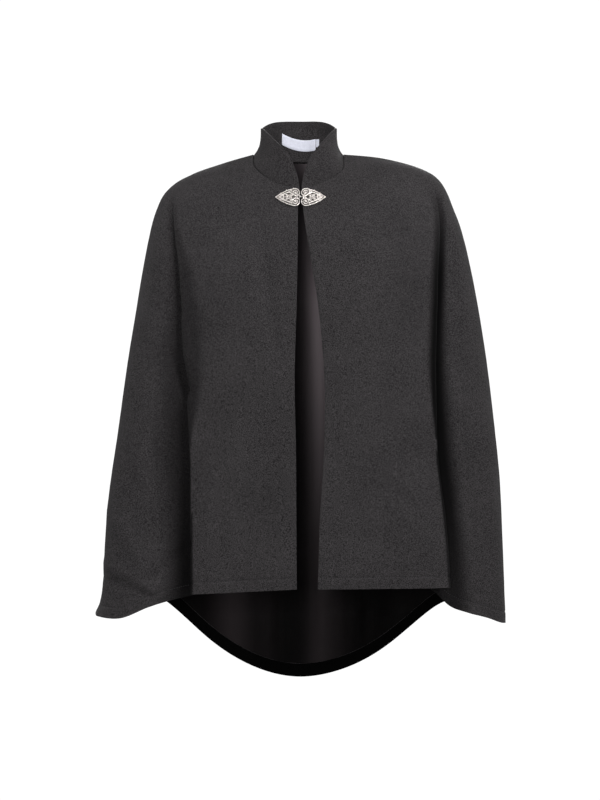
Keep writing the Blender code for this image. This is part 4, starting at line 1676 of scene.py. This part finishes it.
@dataclass(frozen=True)
class SoftLight:
    """A square light that faces the cape's middle plane at one height."""

    name: str
    place: tuple[float, float, float]
    size: float
    power: float
    target_z: float = -0.35

    def build(self) -> None:
        """Adds the light to the scene."""
        data = bpy.data.lights.new(self.name, "AREA")
        data.size = self.size
        data.energy = self.power
        light = bpy.data.objects.new(self.name, data)
        light.location = self.place
        aim = Vector((0.0, 0.0, self.target_z)) - Vector(self.place)
        light.rotation_euler = aim.to_track_quat("-Z", "Y").to_euler()
        bpy.context.scene.collection.objects.link(light)


LIGHTS = (
    SoftLight("key", (1.25, -2.8, 1.35), 0.9, 92, -0.25),
    SoftLight("fill", (-1.8, -2.8, 0.5), 1.8, 9),
    SoftLight("top", (0.1, -0.5, 2.0), 1.4, 20, -0.2),
    SoftLight("front", (-0.25, -3.9, -0.15), 0.7, 66),
    SoftLight("back", (0.3, 3.6, 1.3), 2.0, 230),
    SoftLight("side_right", (-3.2, 1.5, 0.9), 1.6, 100),
    SoftLight("side_left", (3.2, 1.5, 0.9), 1.6, 100),
)


@dataclass
class Studio:
    """Pale floor, pale surroundings, soft lights and the camera."""

    floor_z: float = -1.42
    floor_radius: float = 2.0
    camera_place: tuple[float, float, float] = (-0.0008, -3.5, -0.384)
    lens: float = 98.4
    sensor: float = 36.0
    world_light: float = 0.15
    world_tint: Colour = (0.95, 0.96, 1.0)
    world_white: float = 1.05
    paper_tones: tuple[Colour, Colour] = ((0.86, 0.86, 0.86), (0.89, 0.89, 0.89))

    def build(self) -> None:
        """Builds the whole studio."""
        self._floor()
        self._camera()
        for light in LIGHTS:
            light.build()
        self._surroundings()
        bpy.context.scene.view_settings.view_transform = "Standard"

    def _surroundings(self) -> None:
        """Makes the world white to look at and a faint cool light on the cloth."""
        world = bpy.data.worlds.new("studio")
        world.use_nodes = True
        tree = world.node_tree
        glow = tree.nodes["Background"]
        glow.inputs["Color"].default_value = (*self.world_tint, 1)
        glow.inputs["Strength"].default_value = self.world_light
        white = tree.nodes.new("ShaderNodeBackground")
        white.inputs["Color"].default_value = (1, 1, 1, 1)
        white.inputs["Strength"].default_value = self.world_white
        path = tree.nodes.new("ShaderNodeLightPath")
        choice = tree.nodes.new("ShaderNodeMixShader")
        tree.links.new(path.outputs["Is Camera Ray"], choice.inputs["Fac"])
        tree.links.new(glow.outputs["Background"], choice.inputs[1])
        tree.links.new(white.outputs["Background"], choice.inputs[2])
        tree.links.new(choice.outputs["Shader"], tree.nodes["World Output"].inputs["Surface"])
        bpy.context.scene.world = world

    def _floor(self) -> None:
        """Builds the round floor under the cape."""
        disc = bmesh.new()
        bmesh.ops.create_circle(disc, cap_ends=True, segments=96, radius=self.floor_radius,
                                matrix=Matrix.Translation((0, 0, self.floor_z)))
        mesh = finished_mesh("pale_floor", disc)
        shade = Shade("pale_paper")
        tone = shade.mask(3.0, 0.2, 0.8)
        shade.feed("Base Color", shade.mix(tone, *self.paper_tones))
        shade.feed("Roughness", 0.9)
        mesh.materials.append(shade.material)
        paper = bpy.data.objects.new("pale_floor", mesh)
        paper.visible_diffuse = False
        bpy.context.scene.collection.objects.link(paper)

    def _camera(self) -> None:
        """Sets the camera at the picture's angle."""
        data = bpy.data.cameras.new("camera")
        data.lens = self.lens
        data.sensor_width = self.sensor
        camera = bpy.data.objects.new("camera", data)
        camera.location = self.camera_place
        camera.rotation_euler = (QUARTER_TURN, 0, 0)
        bpy.context.scene.collection.objects.link(camera)
        bpy.context.scene.camera = camera


def main() -> None:
    """Builds the studio and every piece of the cape."""
    logging.basicConfig(level=logging.INFO, format="%(name)s: %(message)s")
    Studio().build()
    form = GarmentForm()
    finishes = Wardrobe()
    cloth = Cloth(form, finishes)
    sheets = cloth.build()
    cloth.stitch_hems(sheets)
    Collar(form, finishes).build()
    Clasp(finishes).build(sheets["front_right"], sheets["front_left"])


if __name__ == "__main__":
    main()
